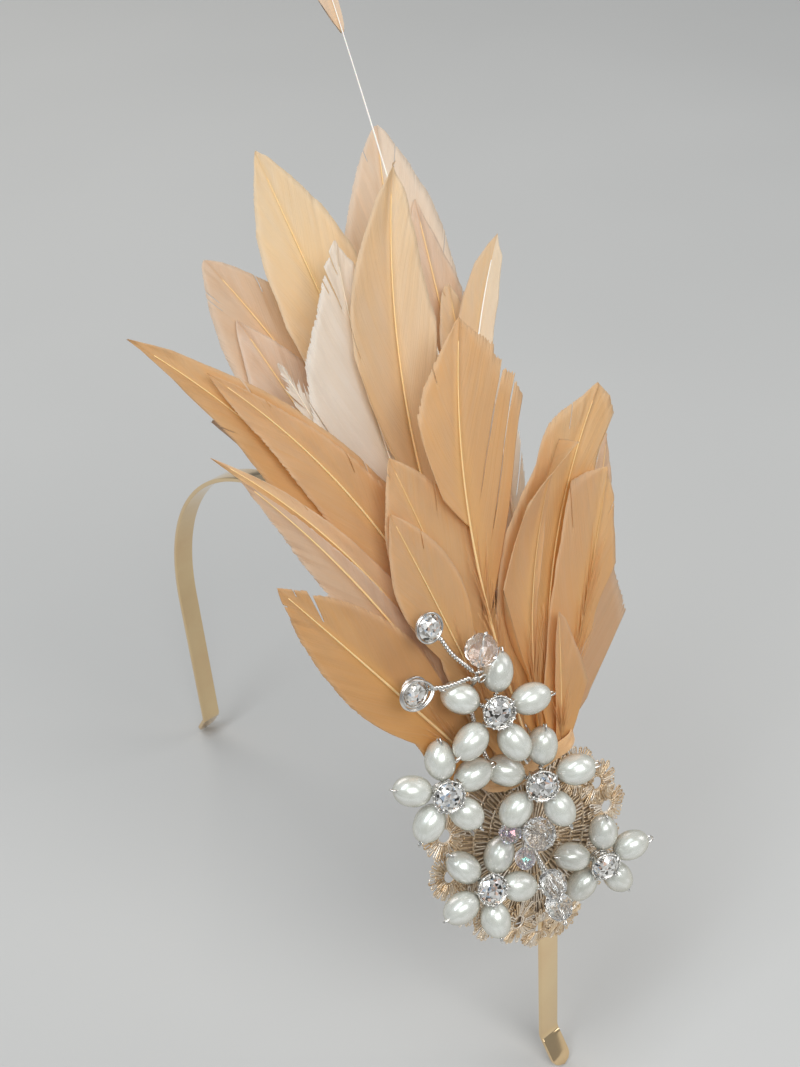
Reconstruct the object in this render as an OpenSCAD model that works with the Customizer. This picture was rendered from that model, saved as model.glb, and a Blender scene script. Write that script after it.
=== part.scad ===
// Side fascinator: a slim metal headband that carries a fan of trimmed feathers and a
// cluster of wired pearl flowers, crystals and looped lace above the wearer's right ear.
// +X points to the wearer's face, +Y to the wearer's left, +Z up.
// The origin is the centre of the crown arc.

/* [Headband] */
// Inner radius of the crown arc
band_radius = 66; // [62:0.5:70]
// Width of the metal strip
band_width = 5; // [4:0.5:6]
// Thickness of the metal strip
band_thickness = 1; // [0.8:0.1:1.1]
// Height of the centre of the crown arc above the leg ends
arc_height = 51; // [45:1:60]
// Length of the bent-out end of each leg
lip_length = 9; // [7:0.5:12]
// Outward bend of each leg end, in degrees
lip_angle = 33; // [15:1:40]

/* [Ornament] */
// Angle round the crown arc from its top down to the middle of the ornament
ornament_angle = 70; // [62:1:76]
// Width of the stiff base across the band
base_width = 34; // [32:1:38]
// Height of the stiff base along the band
base_height = 38; // [36:1:42]
// Thickness of the stiff base
base_thickness = 1.2; // [1:0.1:1.2]
// Thickness of the lace
lace_thickness = 0.5; // [0.3:0.1:0.6]
// Radius of each scallop on the edge of the lace
scallop_radius = 5; // [4:0.5:6]

/* [Feathers] */
// Thickness of a vane
vane_thickness = 0.2; // [0.15:0.05:0.25]
// Width and thickness of a quill at its cut end
quill_size = 0.8; // [0.6:0.1:0.8]
// Radius of the gentle curve that every feather follows towards the head
feather_bend = 450; // [400:50:600]
// Lean of the rearmost feather out of the ornament's plane, in degrees
rear_lean = -5; // [-6:0.5:-4]
// Extra lean of each feather over the one behind it, in degrees
lean_step = 0.75; // [0.7:0.05:0.8]
// Extra height of each quill over the one behind it
layer_step = 0.21; // [0.2:0.01:0.25]

/* [Pearls and stones] */
// Thickness of a rice pearl
pearl_width = 5.8; // [5:0.1:5.9]
// Length of a rice pearl
pearl_length = 7.6; // [7:0.1:7.7]
// Thickness of the beading wire
wire_size = 0.5; // [0.4:0.05:0.6]
// Thickness of a twisted wire stem
stem_size = 1; // [0.8:0.1:1.1]
// Width of the stone in the middle of each flower
stone_width = 5.4; // [5:0.1:5.6]

/* [Hidden] */

ARC_DETAIL = 360;
ROUND = 48;
CLEARANCE = 0.05;
bead_bore = wire_size + 2 * CLEARANCE;
band_outer = band_radius + band_thickness;
bend_height = lip_length * cos(lip_angle);
base_top = band_outer + CLEARANCE + base_thickness;
lace_top = base_top + 2 * CLEARANCE + lace_thickness;
base_centre = [-3, -1];
felt_inset = 0.6;
PEACH = [0.95, 0.76, 0.60];
PALE = [0.97, 0.88, 0.80];
SILVER = [0.80, 0.80, 0.80];
PEARL = [0.96, 0.94, 0.89];
GLASS = [0.88, 0.92, 0.95];
CHAMPAGNE = [0.78, 0.68, 0.52];

// ---- placing ----

// Tangent frame of the band under the ornament: x forward, y up the band, z outward
module on_ornament() {
  rotate([ornament_angle, 0, 0])
    translate([0, 0, band_outer])
      children();
}

// A flat outline in the tangent frame, wrapped on a shell that hugs the crown arc
module wrap(radius, thickness) {
  depth = 24;
  intersection() {
    linear_extrude(height = depth, center = true) children();
    translate([0, 0, -band_outer])
      rotate([0, 90, 0])
        difference() {
          cylinder(r = radius + thickness, h = 2 * base_width, center = true, $fn = ARC_DETAIL);
          cylinder(r = radius, h = 3 * base_width, center = true, $fn = ARC_DETAIL);
        }
  }
}

module oval(width, height) {
  scale([width / height, 1]) circle(d = height, $fn = 96);
}

// A round rod from one point to another
module rod(from, to, size) {
  run = to - from;
  length = norm(run);
  translate(from)
    rotate([0, acos(run.z / length), atan2(run.y, run.x)])
      cylinder(d = size, h = length, $fn = 24);
}

// A bent wire: rods joined by balls a little thicker than the wire
module wire(points, size) {
  ball = 1.15 * size;
  for (i = [1:len(points) - 1]) rod(points[i - 1], points[i], size);
  for (p = points) translate(p) sphere(d = ball, $fn = 24);
}

// ---- headband and base ----

// Side view of a leg: down from the arc, then bent outward at its end
module leg_profile() {
  half = band_thickness / 2;
  mitre = half * tan(lip_angle / 2);
  run = lip_length * sin(lip_angle);
  polygon([
    [-half, arc_height], [-half, bend_height - mitre],
    [run - half * cos(lip_angle), -half * sin(lip_angle)],
    [run + half * cos(lip_angle), half * sin(lip_angle)],
    [half, bend_height + mitre], [half, arc_height]
  ]);
}

// What is cut from the corners of a leg's end to round it
module tip_corners() {
  tip_radius = 0.6 * band_width;
  difference() {
    translate([-band_width, -1]) square([2 * band_width, tip_radius + 1]);
    translate([0, tip_radius]) circle(r = tip_radius, $fn = ROUND);
  }
}

module leg() {
  translate([0, band_radius + band_thickness / 2, -arc_height])
    difference() {
      rotate([90, 0, 90])
        linear_extrude(height = band_width, center = true) leg_profile();
      translate([0, lip_length * sin(lip_angle), 0])
        rotate([90 + lip_angle, 0, 0])
          linear_extrude(height = 3 * band_thickness, center = true) tip_corners();
    }
}

module headband() color([0.83, 0.66, 0.42]) {
  rotate([90, 0, 90])
    rotate_extrude(angle = 180, $fn = ARC_DETAIL)
      translate([band_radius, -band_width / 2]) square([band_thickness, band_width]);
  leg();
  mirror([0, 1, 0]) leg();
}

// Felt pads on each side of the strip, set back a little from its inner face
module backing_felt() color([0.90, 0.84, 0.76])
  on_ornament()
    wrap(band_radius + felt_inset, band_thickness - felt_inset)
      difference() {
        translate(base_centre) oval(base_width - 3, base_height - 3);
        square([band_width + 4 * CLEARANCE, 3 * base_height], center = true);
      }

module base_plate() color([0.92, 0.88, 0.80])
  on_ornament() wrap(band_outer + CLEARANCE, base_thickness)
    translate(base_centre) oval(base_width, base_height);

module lace_base() color(CHAMPAGNE)
  on_ornament() wrap(base_top + CLEARANCE, lace_thickness)
    translate(base_centre) oval(base_width + 2, base_height + 2);

// Places of the scalloped motifs round the edge of the lace
scallop_places = [
  [11.8, 6.2], [15.4, 1.2], [16.2, -5], [13.5, -13], [8.5, -19.8], [1.8, -25.6],
  [-5, -22.8], [-10.5, -17], [-16.6, -11], [-20.8, -4.2], [-23, 3.6], [-21, 11.4]
];
scallop_eye = 0.3 * scallop_radius;

module lace_scallops() color(CHAMPAGNE)
  on_ornament() wrap(lace_top, lace_thickness)
    for (place = scallop_places)
      translate(place)
        difference() {
          circle(r = scallop_radius, $fn = ROUND);
          circle(r = scallop_eye, $fn = ROUND);
        }

// ---- feathers ----

quill_start = 15;
first_quill_height = 1.8;

// Share of the full width at a place along the vane, from 0 at its foot to 1 at its tip
function vane_share(along, widest, point) =
  pow(max(0, sin(180 * pow(along, ln(0.5) / ln(widest)))), point);

// Sideways place of the rachis at a distance along a feather
function rachis_x(s, reach, sweep) = sweep * pow(s / reach, 3);

// Distance along the chord for a distance along the bend
function chord(s) = feather_bend * sin(s / feather_bend * 180 / PI);

module bend_cylinder(radius) {
  translate([0, 0, -feather_bend])
    rotate([0, 90, 0]) cylinder(r = radius, h = 80, center = true, $fn = ARC_DETAIL);
}

module vane(reach, width, foot, widest, left_share, sweep, point) {
  steps = 12;
  ahead = 40;
  left = [for (i = [0:steps]) let (t = i / steps, s = foot + (reach - foot) * t)
    [rachis_x(s, reach, sweep) - width * left_share * vane_share(t, widest, point), chord(s)]];
  right = [for (i = [steps - 1:-1:1]) let (t = i / steps, s = foot + (reach - foot) * t)
    [rachis_x(s, reach, sweep) + width * (1 - left_share) * vane_share(t, widest, point), chord(s)]];
  intersection() {
    translate([0, 0, -ahead]) linear_extrude(height = 2 * ahead) polygon(concat(left, right));
    difference() {
      bend_cylinder(feather_bend + vane_thickness / 2);
      bend_cylinder(feather_bend - vane_thickness / 2);
    }
  }
}

module quill(reach, sweep, end_share) {
  steps = 6;
  ahead = 40;
  taper = 0.17;
  end = reach * end_share;
  left = [for (i = [0:steps]) let (s = end * i / steps)
    [rachis_x(s, reach, sweep) - quill_size * (0.5 - 0.35 * i / steps), chord(s)]];
  right = [for (i = [steps:-1:0]) let (s = end * i / steps)
    [rachis_x(s, reach, sweep) + quill_size * (0.5 - 0.35 * i / steps), chord(s)]];
  slope = taper * 100 / end;
  intersection() {
    translate([0, 0, -ahead]) linear_extrude(height = 2 * ahead) polygon(concat(left, right));
    rotate([-slope, 0, 0]) bend_cylinder(feather_bend + quill_size / 2);
    difference() {
      translate([0, 0, -ahead]) linear_extrude(height = 2 * ahead) square(400, center = true);
      rotate([slope, 0, 0]) bend_cylinder(feather_bend - quill_size / 2);
    }
  }
}

// Places a feather in the fan: yaw to the right seen from outside, layers count outward
module in_fan(yaw, layer, shift) {
  on_ornament()
    translate([shift, quill_start, first_quill_height + layer * layer_step])
      rotate([0, 0, -yaw])
        rotate([rear_lean + layer * lean_step, 0, 0])
          children();
}

module feather(yaw, reach, width, layer, shift = 0, sweep = 0, foot = 0.35, widest = 0.55,
               left_share = 0.5, point = 0.9) {
  in_fan(yaw, layer, shift) {
    vane(reach, width, reach * foot, widest, left_share, sweep, point);
    quill(reach, sweep, 0.9);
  }
}

module feather_shaded_back() color([0.72, 0.56, 0.44])
  feather(yaw = -4, reach = 88, width = 15, layer = 0, shift = -4.6, sweep = -20);

module feather_pale_outer() color(PALE)
  feather(yaw = -4, reach = 113, width = 22, layer = 1, shift = -1.2, sweep = -10, point = 0.7);

module feather_pale_inner() color(PALE)
  feather(yaw = -9, reach = 102, width = 18, layer = 2, shift = -2.4, sweep = -1);

module feather_tall_back() color(PALE)
  feather(yaw = 2.5, reach = 123, width = 25, layer = 3, shift = 1, sweep = 17);

module feather_back_sliver() color(PALE)
  feather(yaw = 9, reach = 109, width = 14, layer = 4, shift = 3, sweep = 3);

module feather_tall_left() color(PEACH)
  feather(yaw = -3, reach = 126, width = 25, layer = 5, shift = -1, sweep = 3, widest = 0.62);

module feather_small_round() color(PEACH)
  feather(yaw = 9, reach = 93, width = 15, layer = 6, shift = 1.9, sweep = 3, point = 0.6);

module feather_white_sliver() color([0.97, 0.94, 0.90])
  feather(yaw = 12, reach = 83, width = 9, layer = 7, shift = 4.2, sweep = 1);

module feather_curled() color(PEACH)
  feather(yaw = 11, reach = 99, width = 15, layer = 8, shift = 3, sweep = 10);

module feather_wisp() color([0.97, 0.94, 0.90])
  feather(yaw = -10.5, reach = 95, width = 10, layer = 10, shift = -4, sweep = 0);

module feather_ivory() color([0.97, 0.94, 0.90])
  feather(yaw = -9, reach = 107, width = 22, layer = 11, shift = -2, sweep = 15.5);

module feather_tall_centre() color(PEACH)
  feather(yaw = -8, reach = 113.5, width = 19, layer = 12, shift = -0.8, sweep = 29);

module feather_right_pale() color(PALE)
  feather(yaw = 30, reach = 63, width = 22, layer = 13, shift = 6, foot = 0.2, widest = 0.42);

module feather_sweep_upper() color(PEACH)
  feather(yaw = -13, reach = 115, width = 18, layer = 14, shift = -3.3, sweep = -18, left_share = 0.4);

module feather_sweep_lower() color(PEACH)
  feather(yaw = -12.5, reach = 101, width = 15, layer = 15, shift = -4.6, sweep = -12);

module feather_left_narrow() color(PEACH)
  feather(yaw = -14, reach = 93, width = 8, layer = 16, shift = -5.8, sweep = -15);

module feather_left_pink() color(PALE)
  feather(yaw = -17, reach = 88, width = 11, layer = 17, shift = -6.9, sweep = -8, left_share = 0.4);

module feather_left_low() color(PEACH)
  feather(yaw = -28, reach = 71, width = 16, layer = 18, shift = -7.8, foot = 0.22, widest = 0.5,
          left_share = 0.45);

module feather_inner_upper() color(PEACH)
  feather(yaw = -9, reach = 75, width = 15, layer = 19, shift = -2.6, foot = 0.4);

module feather_inner_lower() color(PEACH)
  feather(yaw = -12, reach = 67, width = 13, layer = 20, shift = -4.1, foot = 0.4);

module feather_front_diamond() color(PEACH)
  feather(yaw = -8, reach = 90, width = 30, layer = 21, shift = -0.2, sweep = 18.5, foot = 0.4,
          widest = 0.7, left_share = 0.42, point = 1.3);

module feather_right_back() color(PEACH)
  feather(yaw = 7, reach = 72, width = 20, layer = 22, shift = 3, sweep = 19, foot = 0.3,
          left_share = 0.55);

module feather_right_left_half() color(PEACH)
  feather(yaw = 1, reach = 64.5, width = 17, layer = 23, shift = 1.4, sweep = 16, foot = 0.3,
          left_share = 0.6);

module feather_right_right_half() color(PEACH)
  feather(yaw = 22, reach = 59, width = 17, layer = 24, shift = 4, sweep = 1, foot = 0.25);

module feather_right_small() color(PEACH)
  feather(yaw = 5, reach = 34.5, width = 13, layer = 28, shift = 5, foot = 0.2, widest = 0.42);

// A long bare quill with a small trimmed diamond of vane left at its tip
module arrow_feather() color(PALE)
  in_fan(yaw = 6, layer = 9, shift = 0.6) {
    arrow_reach = 160;
    arrow_sweep = 3.5;
    vane(arrow_reach, 5.5, arrow_reach - 20, 0.3, 0.8, arrow_sweep, 1);
    quill(arrow_reach, arrow_sweep, 0.97);
  }

binding_at = [-0.9, 17.4, 5.3];
binding_length = 3;
binding_half_run = 5.9;
binding_radius = 5.1;
binding_wall = 0.5;

// The wound loop that gathers the quills
module quill_binding() color([0.86, 0.82, 0.74])
  on_ornament()
    translate(binding_at)
      rotate([-90, 0, 0])
        linear_extrude(height = binding_length)
          difference() {
            slot(binding_half_run, binding_radius);
            slot(binding_half_run, binding_radius - binding_wall);
          }

module slot(half_run, radius) {
  square([2 * half_run, 2 * radius], center = true);
  for (side = [-1, 1]) translate([side * half_run, 0]) circle(r = radius, $fn = ROUND);
}

// ---- pearl flowers ----

petal_count = 5;
petal_drop = 0.6;
hub_bottom = -2;
cup_bottom = -0.1;
cup_rim = 1.35;
cup_top = 2.05;

// [forward, up the band, outward] of each flower's middle
top_flower_at = [-12, 39, 17.5];
middle_flower_at = [-6.6, 20, 16.5];
left_flower_at = [-23.9, 26.8, 12.3];
lower_flower_at = [-19.4, 1.3, 9];
right_flower_at = [7, -10, 9];

// Frame of a flower: z is its axis, leaned forward and up the band
module flower_frame(at, lean_forward, lean_up, spin) {
  on_ornament()
    translate(at)
      rotate([-lean_up, lean_forward, 0])
        rotate([0, 0, -spin])
          children();
}

module top_frame() flower_frame(top_flower_at, lean_forward = -15, lean_up = 12, spin = 25) children();
module middle_frame() flower_frame(middle_flower_at, lean_forward = -28, lean_up = 5, spin = 19) children();
module left_frame() flower_frame(left_flower_at, lean_forward = -15, lean_up = 5, spin = 11) children();
module lower_frame() flower_frame(lower_flower_at, lean_forward = -10, lean_up = 15, spin = -27) children();
module right_frame() flower_frame(right_flower_at, lean_forward = -22, lean_up = -8, spin = 14) children();

stem_gap = 1.4;

// End of a stem inside the hub, just below the flower's middle
function under(at) = at - [0, 0, stem_gap];

module petals(ring) {
  for (i = [0:petal_count - 1])
    rotate([0, 0, -i * 360 / petal_count])
      translate([0, ring, -petal_drop])
        rotate([90, 0, 0])
          difference() {
            scale([pearl_width, pearl_width, pearl_length]) sphere(d = 1, $fn = 64);
            cylinder(d = bead_bore, h = 2 * pearl_length, center = true, $fn = 24);
          }
}

// Hub and five spokes, each ending in a small loop outside its pearl
module spokes(ring) {
  tip = ring + pearl_length / 2 + wire_size;
  translate([0, 0, hub_bottom])
    cylinder(d = 2.6, h = cup_bottom - CLEARANCE - hub_bottom, $fn = ROUND);
  for (i = [0:petal_count - 1])
    rotate([0, 0, -i * 360 / petal_count]) {
      translate([0, 0, -petal_drop])
        rotate([-90, 0, 0]) cylinder(d = wire_size, h = tip, $fn = 24);
      translate([0, tip, -petal_drop]) sphere(d = 2 * wire_size, $fn = 24);
    }
}

// Claw cup that holds the stone
module cup() {
  claw = 0.5;
  difference() {
    union() {
      translate([0, 0, cup_bottom])
        cylinder(r1 = 1.6, r2 = stone_width / 2 + 0.35, h = cup_rim - cup_bottom, $fn = ROUND);
      translate([0, 0, cup_rim]) cylinder(r = stone_width / 2 + 0.35, h = cup_top - cup_rim, $fn = ROUND);
      for (i = [0:3])
        rotate([0, 0, 45 + 90 * i])
          translate([stone_width / 2 + 0.1, 0, cup_top + claw / 2])
            cube([claw, 0.8, 2 * claw], center = true);
    }
    translate([0, 0, cup_bottom + 0.5])
      cylinder(r1 = 0.3, r2 = stone_width / 2 + CLEARANCE, h = cup_rim - cup_bottom - 0.2, $fn = ROUND);
    translate([0, 0, cup_rim + 0.3]) cylinder(r = stone_width / 2 + CLEARANCE, h = 2, $fn = ROUND);
  }
}

// Round brilliant: pavilion, girdle and crown
module stone() {
  pavilion = cup_rim - cup_bottom - 0.4;
  translate([0, 0, cup_bottom + 0.75])
    cylinder(r1 = 0.15, r2 = stone_width / 2 - CLEARANCE, h = pavilion, $fn = ROUND);
  translate([0, 0, cup_bottom + 0.75 + pavilion]) {
    cylinder(r = stone_width / 2 - CLEARANCE, h = 0.3, $fn = ROUND);
    translate([0, 0, 0.3])
      cylinder(r1 = stone_width / 2 - CLEARANCE, r2 = stone_width * 0.3, h = 0.8, $fn = ROUND);
  }
}

top_ring = 7;
middle_ring = 7;
left_ring = 6.2;
lower_ring = 6.4;
right_ring = 6.6;

module top_flower_pearls() color(PEARL) top_frame() petals(top_ring);
module middle_flower_pearls() color(PEARL) middle_frame() petals(middle_ring);
module left_flower_pearls() color(PEARL) left_frame() petals(left_ring);
module lower_flower_pearls() color(PEARL) lower_frame() petals(lower_ring);
module right_flower_pearls() color(PEARL) right_frame() petals(right_ring);

// Foot of the top flower's stem, on the binding of the quills
top_stem_foot = [-2, 20.5, 11.1];

module top_flower_wire() color(SILVER) {
  top_frame() spokes(top_ring);
  on_ornament() wire([under(top_flower_at), [-11.2, 37.4, 13.6], top_stem_foot], stem_size);
}

module middle_flower_wire() color(SILVER) {
  middle_frame() spokes(middle_ring);
  on_ornament() wire([under(middle_flower_at), [-3, 7, 2.2]], stem_size);
}

module left_flower_wire() color(SILVER) {
  left_frame() spokes(left_ring);
  on_ornament() wire([under(left_flower_at), [-22.8, 26, 8.6], [-15.5, 8.5, 2.4]], stem_size);
}

module lower_flower_wire() color(SILVER) {
  lower_frame() spokes(lower_ring);
  on_ornament() wire([under(lower_flower_at), [-14, -4, 2.8]], stem_size);
}

module right_flower_wire() color(SILVER) {
  right_frame() spokes(right_ring);
  on_ornament() wire([under(right_flower_at), [5, -8, 2.6]], stem_size);
}

module top_flower_cup() color(SILVER) top_frame() cup();
module top_flower_stone() color(GLASS) top_frame() stone();

module flower_cups() color(SILVER) {
  middle_frame() cup();
  left_frame() cup();
  lower_frame() cup();
  right_frame() cup();
}

module flower_stones() color(GLASS) {
  middle_frame() stone();
  left_frame() stone();
  lower_frame() stone();
  right_frame() stone();
}

// ---- crystals ----

round_crystal_at = [-8.2, 8.2, 13.5];
violet_crystal_at = [-12.8, 10.6, 11.2];
long_crystal_at = [-13.9, 7.1, 15.5];
upper_clear_crystal_at = [-7.2, -5, 11.5];
lower_clear_crystal_at = [-6.4, -11.5, 10];
crystal_foot = [-5, 4, 3.2];

// [width, length] of each crystal bead
round_crystal_size = [6.6, 6.6];
violet_crystal_size = [4.4, 4.4];
long_crystal_size = [4, 5.5];
clear_crystal_size = [5.6, 5.6];

// A bead on a wire that comes from the foot
module bead_on(at, foot, size) {
  run = at - foot;
  translate(at)
    rotate([0, acos(run.z / norm(run)), atan2(run.y, run.x)])
      difference() {
        scale([size.x, size.x, size.y]) sphere(d = 1, $fn = 48);
        cylinder(d = bead_bore, h = 2 * size.y, center = true, $fn = 24);
      }
}

// The bead's wire: a core through the bore and a knot past the bead's end
module bead_wire(at, foot, size) {
  run = (at - foot) / norm(at - foot);
  knot = at + run * (size.y / 2 + wire_size);
  rod(foot, knot, wire_size);
  translate(knot) sphere(r = wire_size - CLEARANCE, $fn = 24);
}

module round_crystal() color(GLASS)
  on_ornament() bead_on(round_crystal_at, crystal_foot, round_crystal_size);

module violet_crystal() color([0.72, 0.72, 0.92])
  on_ornament() bead_on(violet_crystal_at, crystal_foot, violet_crystal_size);

module long_crystal() color([0.92, 0.82, 0.84])
  on_ornament() bead_on(long_crystal_at, crystal_foot, long_crystal_size);

module upper_clear_crystal() color(GLASS)
  on_ornament() bead_on(upper_clear_crystal_at, crystal_foot, clear_crystal_size);

module lower_clear_crystal() color(GLASS)
  on_ornament() bead_on(lower_clear_crystal_at, crystal_foot, clear_crystal_size);

module crystal_wires() color(SILVER)
  on_ornament() {
    translate(crystal_foot) sphere(d = 2.4, $fn = ROUND);
    bead_wire(round_crystal_at, crystal_foot, round_crystal_size);
    bead_wire(violet_crystal_at, crystal_foot, violet_crystal_size);
    bead_wire(long_crystal_at, crystal_foot, long_crystal_size);
    bead_wire(upper_clear_crystal_at, crystal_foot, clear_crystal_size);
    bead_wire(lower_clear_crystal_at, crystal_foot, clear_crystal_size);
  }

// ---- sprig ----

sprig_foot = [-7.3, 16, 7.8];
sprig_bend = [-11.6, 26, 8.8];
sprig_rise = [-12.5, 40, 10.6];
sprig_fork = [-13, 46.5, 16.5];
sprig_crystal_at = [-12.1, 51.9, 18.9];
sprig_crystal_size = [6.2, 5.6];
upper_drop_at = [-18.7, 59.1, 15.5];
side_drop_at = [-24.8, 49.4, 14.6];

drop_ring_outer = 2.8;
drop_ring_inner = 2.5;
drop_stone_radius = 2.4;
drop_wire_size = 0.8;
drop_wire_start = 1.6;

module sprig_stem() color(SILVER)
  on_ornament() {
    wire([sprig_foot, sprig_bend, sprig_rise, sprig_fork], stem_size);
    bead_wire(sprig_crystal_at, sprig_fork, sprig_crystal_size);
  }

module sprig_crystal() color([0.95, 0.85, 0.78])
  on_ornament() bead_on(sprig_crystal_at, sprig_fork, sprig_crystal_size);

// A wire from the fork that ends in a ring round the stone
module drop_wire(at) {
  run = (at - sprig_fork) / norm(at - sprig_fork);
  wire([sprig_fork + run * drop_wire_start, at - run * drop_ring_outer], drop_wire_size);
  translate(at)
    difference() {
      cylinder(r = drop_ring_outer, h = 1, center = true, $fn = ROUND);
      cylinder(r = drop_ring_inner, h = 2, center = true, $fn = ROUND);
    }
}

// A brilliant held at its girdle by the ring
module drop_stone(at) {
  culet = 0.4;
  pavilion = 1.5;
  crown = 1.2;
  translate(at) {
    translate([0, 0, -pavilion]) cylinder(r1 = culet, r2 = drop_stone_radius, h = pavilion, $fn = ROUND);
    cylinder(r1 = drop_stone_radius, r2 = drop_stone_radius * 0.6, h = crown, $fn = ROUND);
  }
}

module upper_drop_wire() color(SILVER) on_ornament() drop_wire(upper_drop_at);
module upper_drop_stone() color(GLASS) on_ornament() drop_stone(upper_drop_at);
module side_drop_wire() color(SILVER) on_ornament() drop_wire(side_drop_at);
module side_drop_stone() color(GLASS) on_ornament() drop_stone(side_drop_at);

headband();
backing_felt();
base_plate();
lace_base();
lace_scallops();
quill_binding();
feather_shaded_back();
feather_pale_outer();
feather_pale_inner();
feather_tall_back();
feather_back_sliver();
feather_tall_left();
feather_small_round();
feather_white_sliver();
feather_curled();
feather_wisp();
feather_ivory();
feather_tall_centre();
feather_right_pale();
feather_sweep_upper();
feather_sweep_lower();
feather_left_narrow();
feather_left_pink();
feather_left_low();
feather_inner_upper();
feather_inner_lower();
feather_front_diamond();
feather_right_back();
feather_right_left_half();
feather_right_right_half();
feather_right_small();
arrow_feather();
top_flower_wire();
top_flower_pearls();
top_flower_cup();
top_flower_stone();
middle_flower_wire();
middle_flower_pearls();
left_flower_wire();
left_flower_pearls();
lower_flower_wire();
lower_flower_pearls();
right_flower_wire();
right_flower_pearls();
flower_cups();
flower_stones();
crystal_wires();
round_crystal();
violet_crystal();
long_crystal();
upper_clear_crystal();
lower_clear_crystal();
sprig_stem();
sprig_crystal();
upper_drop_wire();
upper_drop_stone();
side_drop_wire();
side_drop_stone();
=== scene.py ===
"""Looks of the side fascinator: barbed feathers, nacre pearls, faceted stones, twisted wire, lace."""
import math
from dataclasses import dataclass

import bpy
import numpy as np
from mathutils import Matrix, Vector

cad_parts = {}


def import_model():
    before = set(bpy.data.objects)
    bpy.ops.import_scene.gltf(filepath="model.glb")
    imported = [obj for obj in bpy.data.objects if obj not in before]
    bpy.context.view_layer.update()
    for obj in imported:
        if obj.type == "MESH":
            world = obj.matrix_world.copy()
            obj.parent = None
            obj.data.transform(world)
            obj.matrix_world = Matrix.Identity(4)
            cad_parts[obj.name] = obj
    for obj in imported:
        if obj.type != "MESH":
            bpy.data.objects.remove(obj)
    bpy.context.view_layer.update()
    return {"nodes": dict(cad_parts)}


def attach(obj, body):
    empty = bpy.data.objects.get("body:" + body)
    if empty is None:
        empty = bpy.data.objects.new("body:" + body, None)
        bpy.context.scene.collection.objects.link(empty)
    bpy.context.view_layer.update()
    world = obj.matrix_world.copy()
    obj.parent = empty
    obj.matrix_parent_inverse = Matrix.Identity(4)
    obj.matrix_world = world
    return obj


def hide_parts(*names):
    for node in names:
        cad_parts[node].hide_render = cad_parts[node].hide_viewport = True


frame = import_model()

MM = 0.001
TAU = 2 * math.pi

# ---- places shared with the design, in millimetres ----

BAND_INNER, BAND_THICK, BAND_WIDTH, ARC_HEIGHT = 66.0, 1.0, 5.0, 51.0
BAND_OUTER = BAND_INNER + BAND_THICK
LIP_LENGTH, LIP_ANGLE = 9.0, math.radians(33)
ORNAMENT = math.radians(70)
AXES = np.array([[1, 0, 0], [0, math.cos(ORNAMENT), math.sin(ORNAMENT)],
                 [0, -math.sin(ORNAMENT), math.cos(ORNAMENT)]])
ORIGIN = BAND_OUTER * AXES[2]
QUILL_START, FIRST_HEIGHT, LAYER_STEP = 15.0, 1.8, 0.21
REAR_LEAN, LEAN_STEP, BEND = -5.0, 0.75, 450.0
BASE_TOP = BAND_OUTER + 0.05 + 1.2


def world(p):
    """Tangent frame of the ornament to the row frame."""
    return ORIGIN + np.asarray(p, float) @ AXES


def turn_x(deg):
    c, s = math.cos(math.radians(deg)), math.sin(math.radians(deg))
    return np.array([[1, 0, 0], [0, c, -s], [0, s, c]])


def turn_y(deg):
    c, s = math.cos(math.radians(deg)), math.sin(math.radians(deg))
    return np.array([[c, 0, s], [0, 1, 0], [-s, 0, c]])


def turn_z(deg):
    c, s = math.cos(math.radians(deg)), math.sin(math.radians(deg))
    return np.array([[c, -s, 0], [s, c, 0], [0, 0, 1]])


def on_shell(u, v, radius):
    """A point over the base, on a shell that hugs the crown arc."""
    v = np.asarray(v, float)
    u = np.asarray(u, float) + 0 * v
    return np.stack([u, v, np.sqrt(radius ** 2 - v ** 2) - BAND_OUTER], -1)


# ---- meshes ----

class Shape:
    """Gathers vertices, faces, face slots and point attributes of one piece."""

    def __init__(self):
        self.verts, self.faces, self.slots, self.attrs, self.count = [], [], [], {}, 0

    def add(self, verts, faces, slot=0, **attrs):
        verts = np.asarray(verts, float).reshape(-1, 3)
        for key, value in attrs.items():
            values = np.broadcast_to(np.asarray(value, float), len(verts))
            self.attrs.setdefault(key, []).append((self.count, values))
        self.verts.append(verts)
        self.faces.extend([tuple(i + self.count for i in f) for f in faces])
        self.slots.extend([slot] * len(faces))
        self.count += len(verts)

    def build(self, name, materials, body, replaces=(), slot=None, smooth=True, face_value=False, seed=0):
        mesh = bpy.data.meshes.new(name)
        verts = np.concatenate(self.verts) * MM
        mesh.from_pydata(verts.tolist(), [], self.faces)
        for m in materials:
            mesh.materials.append(m)
        mesh.polygons.foreach_set("material_index", np.array(self.slots, np.int32))
        mesh.polygons.foreach_set("use_smooth", np.full(len(self.faces), smooth))
        for key, parts in self.attrs.items():
            data = np.zeros(len(verts), np.float32)
            for start, values in parts:
                data[start:start + len(values)] = values
            mesh.attributes.new(key, "FLOAT", "POINT").data.foreach_set("value", data)
        if face_value:
            facet = np.random.default_rng(seed).random(len(self.faces)).astype(np.float32)
            mesh.attributes.new("facet", "FLOAT", "FACE").data.foreach_set("value", facet)
        mesh.update()
        obj = bpy.data.objects.new(name, mesh)
        bpy.context.scene.collection.objects.link(obj)
        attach(obj, body)
        if replaces:
            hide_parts(*replaces)
        return obj


def smooth_path(points, per=8):
    """Catmull-Rom curve through the points."""
    p = np.asarray(points, float)
    p = np.concatenate([[2 * p[0] - p[1]], p, [2 * p[-1] - p[-2]]])
    out = []
    for i in range(1, len(p) - 2):
        for t in np.linspace(0, 1, per, endpoint=False):
            a, b, c, d = p[i - 1], p[i], p[i + 1], p[i + 2]
            out.append(0.5 * (2 * b + (c - a) * t + (2 * a - 5 * b + 4 * c - d) * t * t
                              + (3 * b - a - 3 * c + d) * t ** 3))
    out.append(p[-2])
    return np.array(out)


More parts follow.
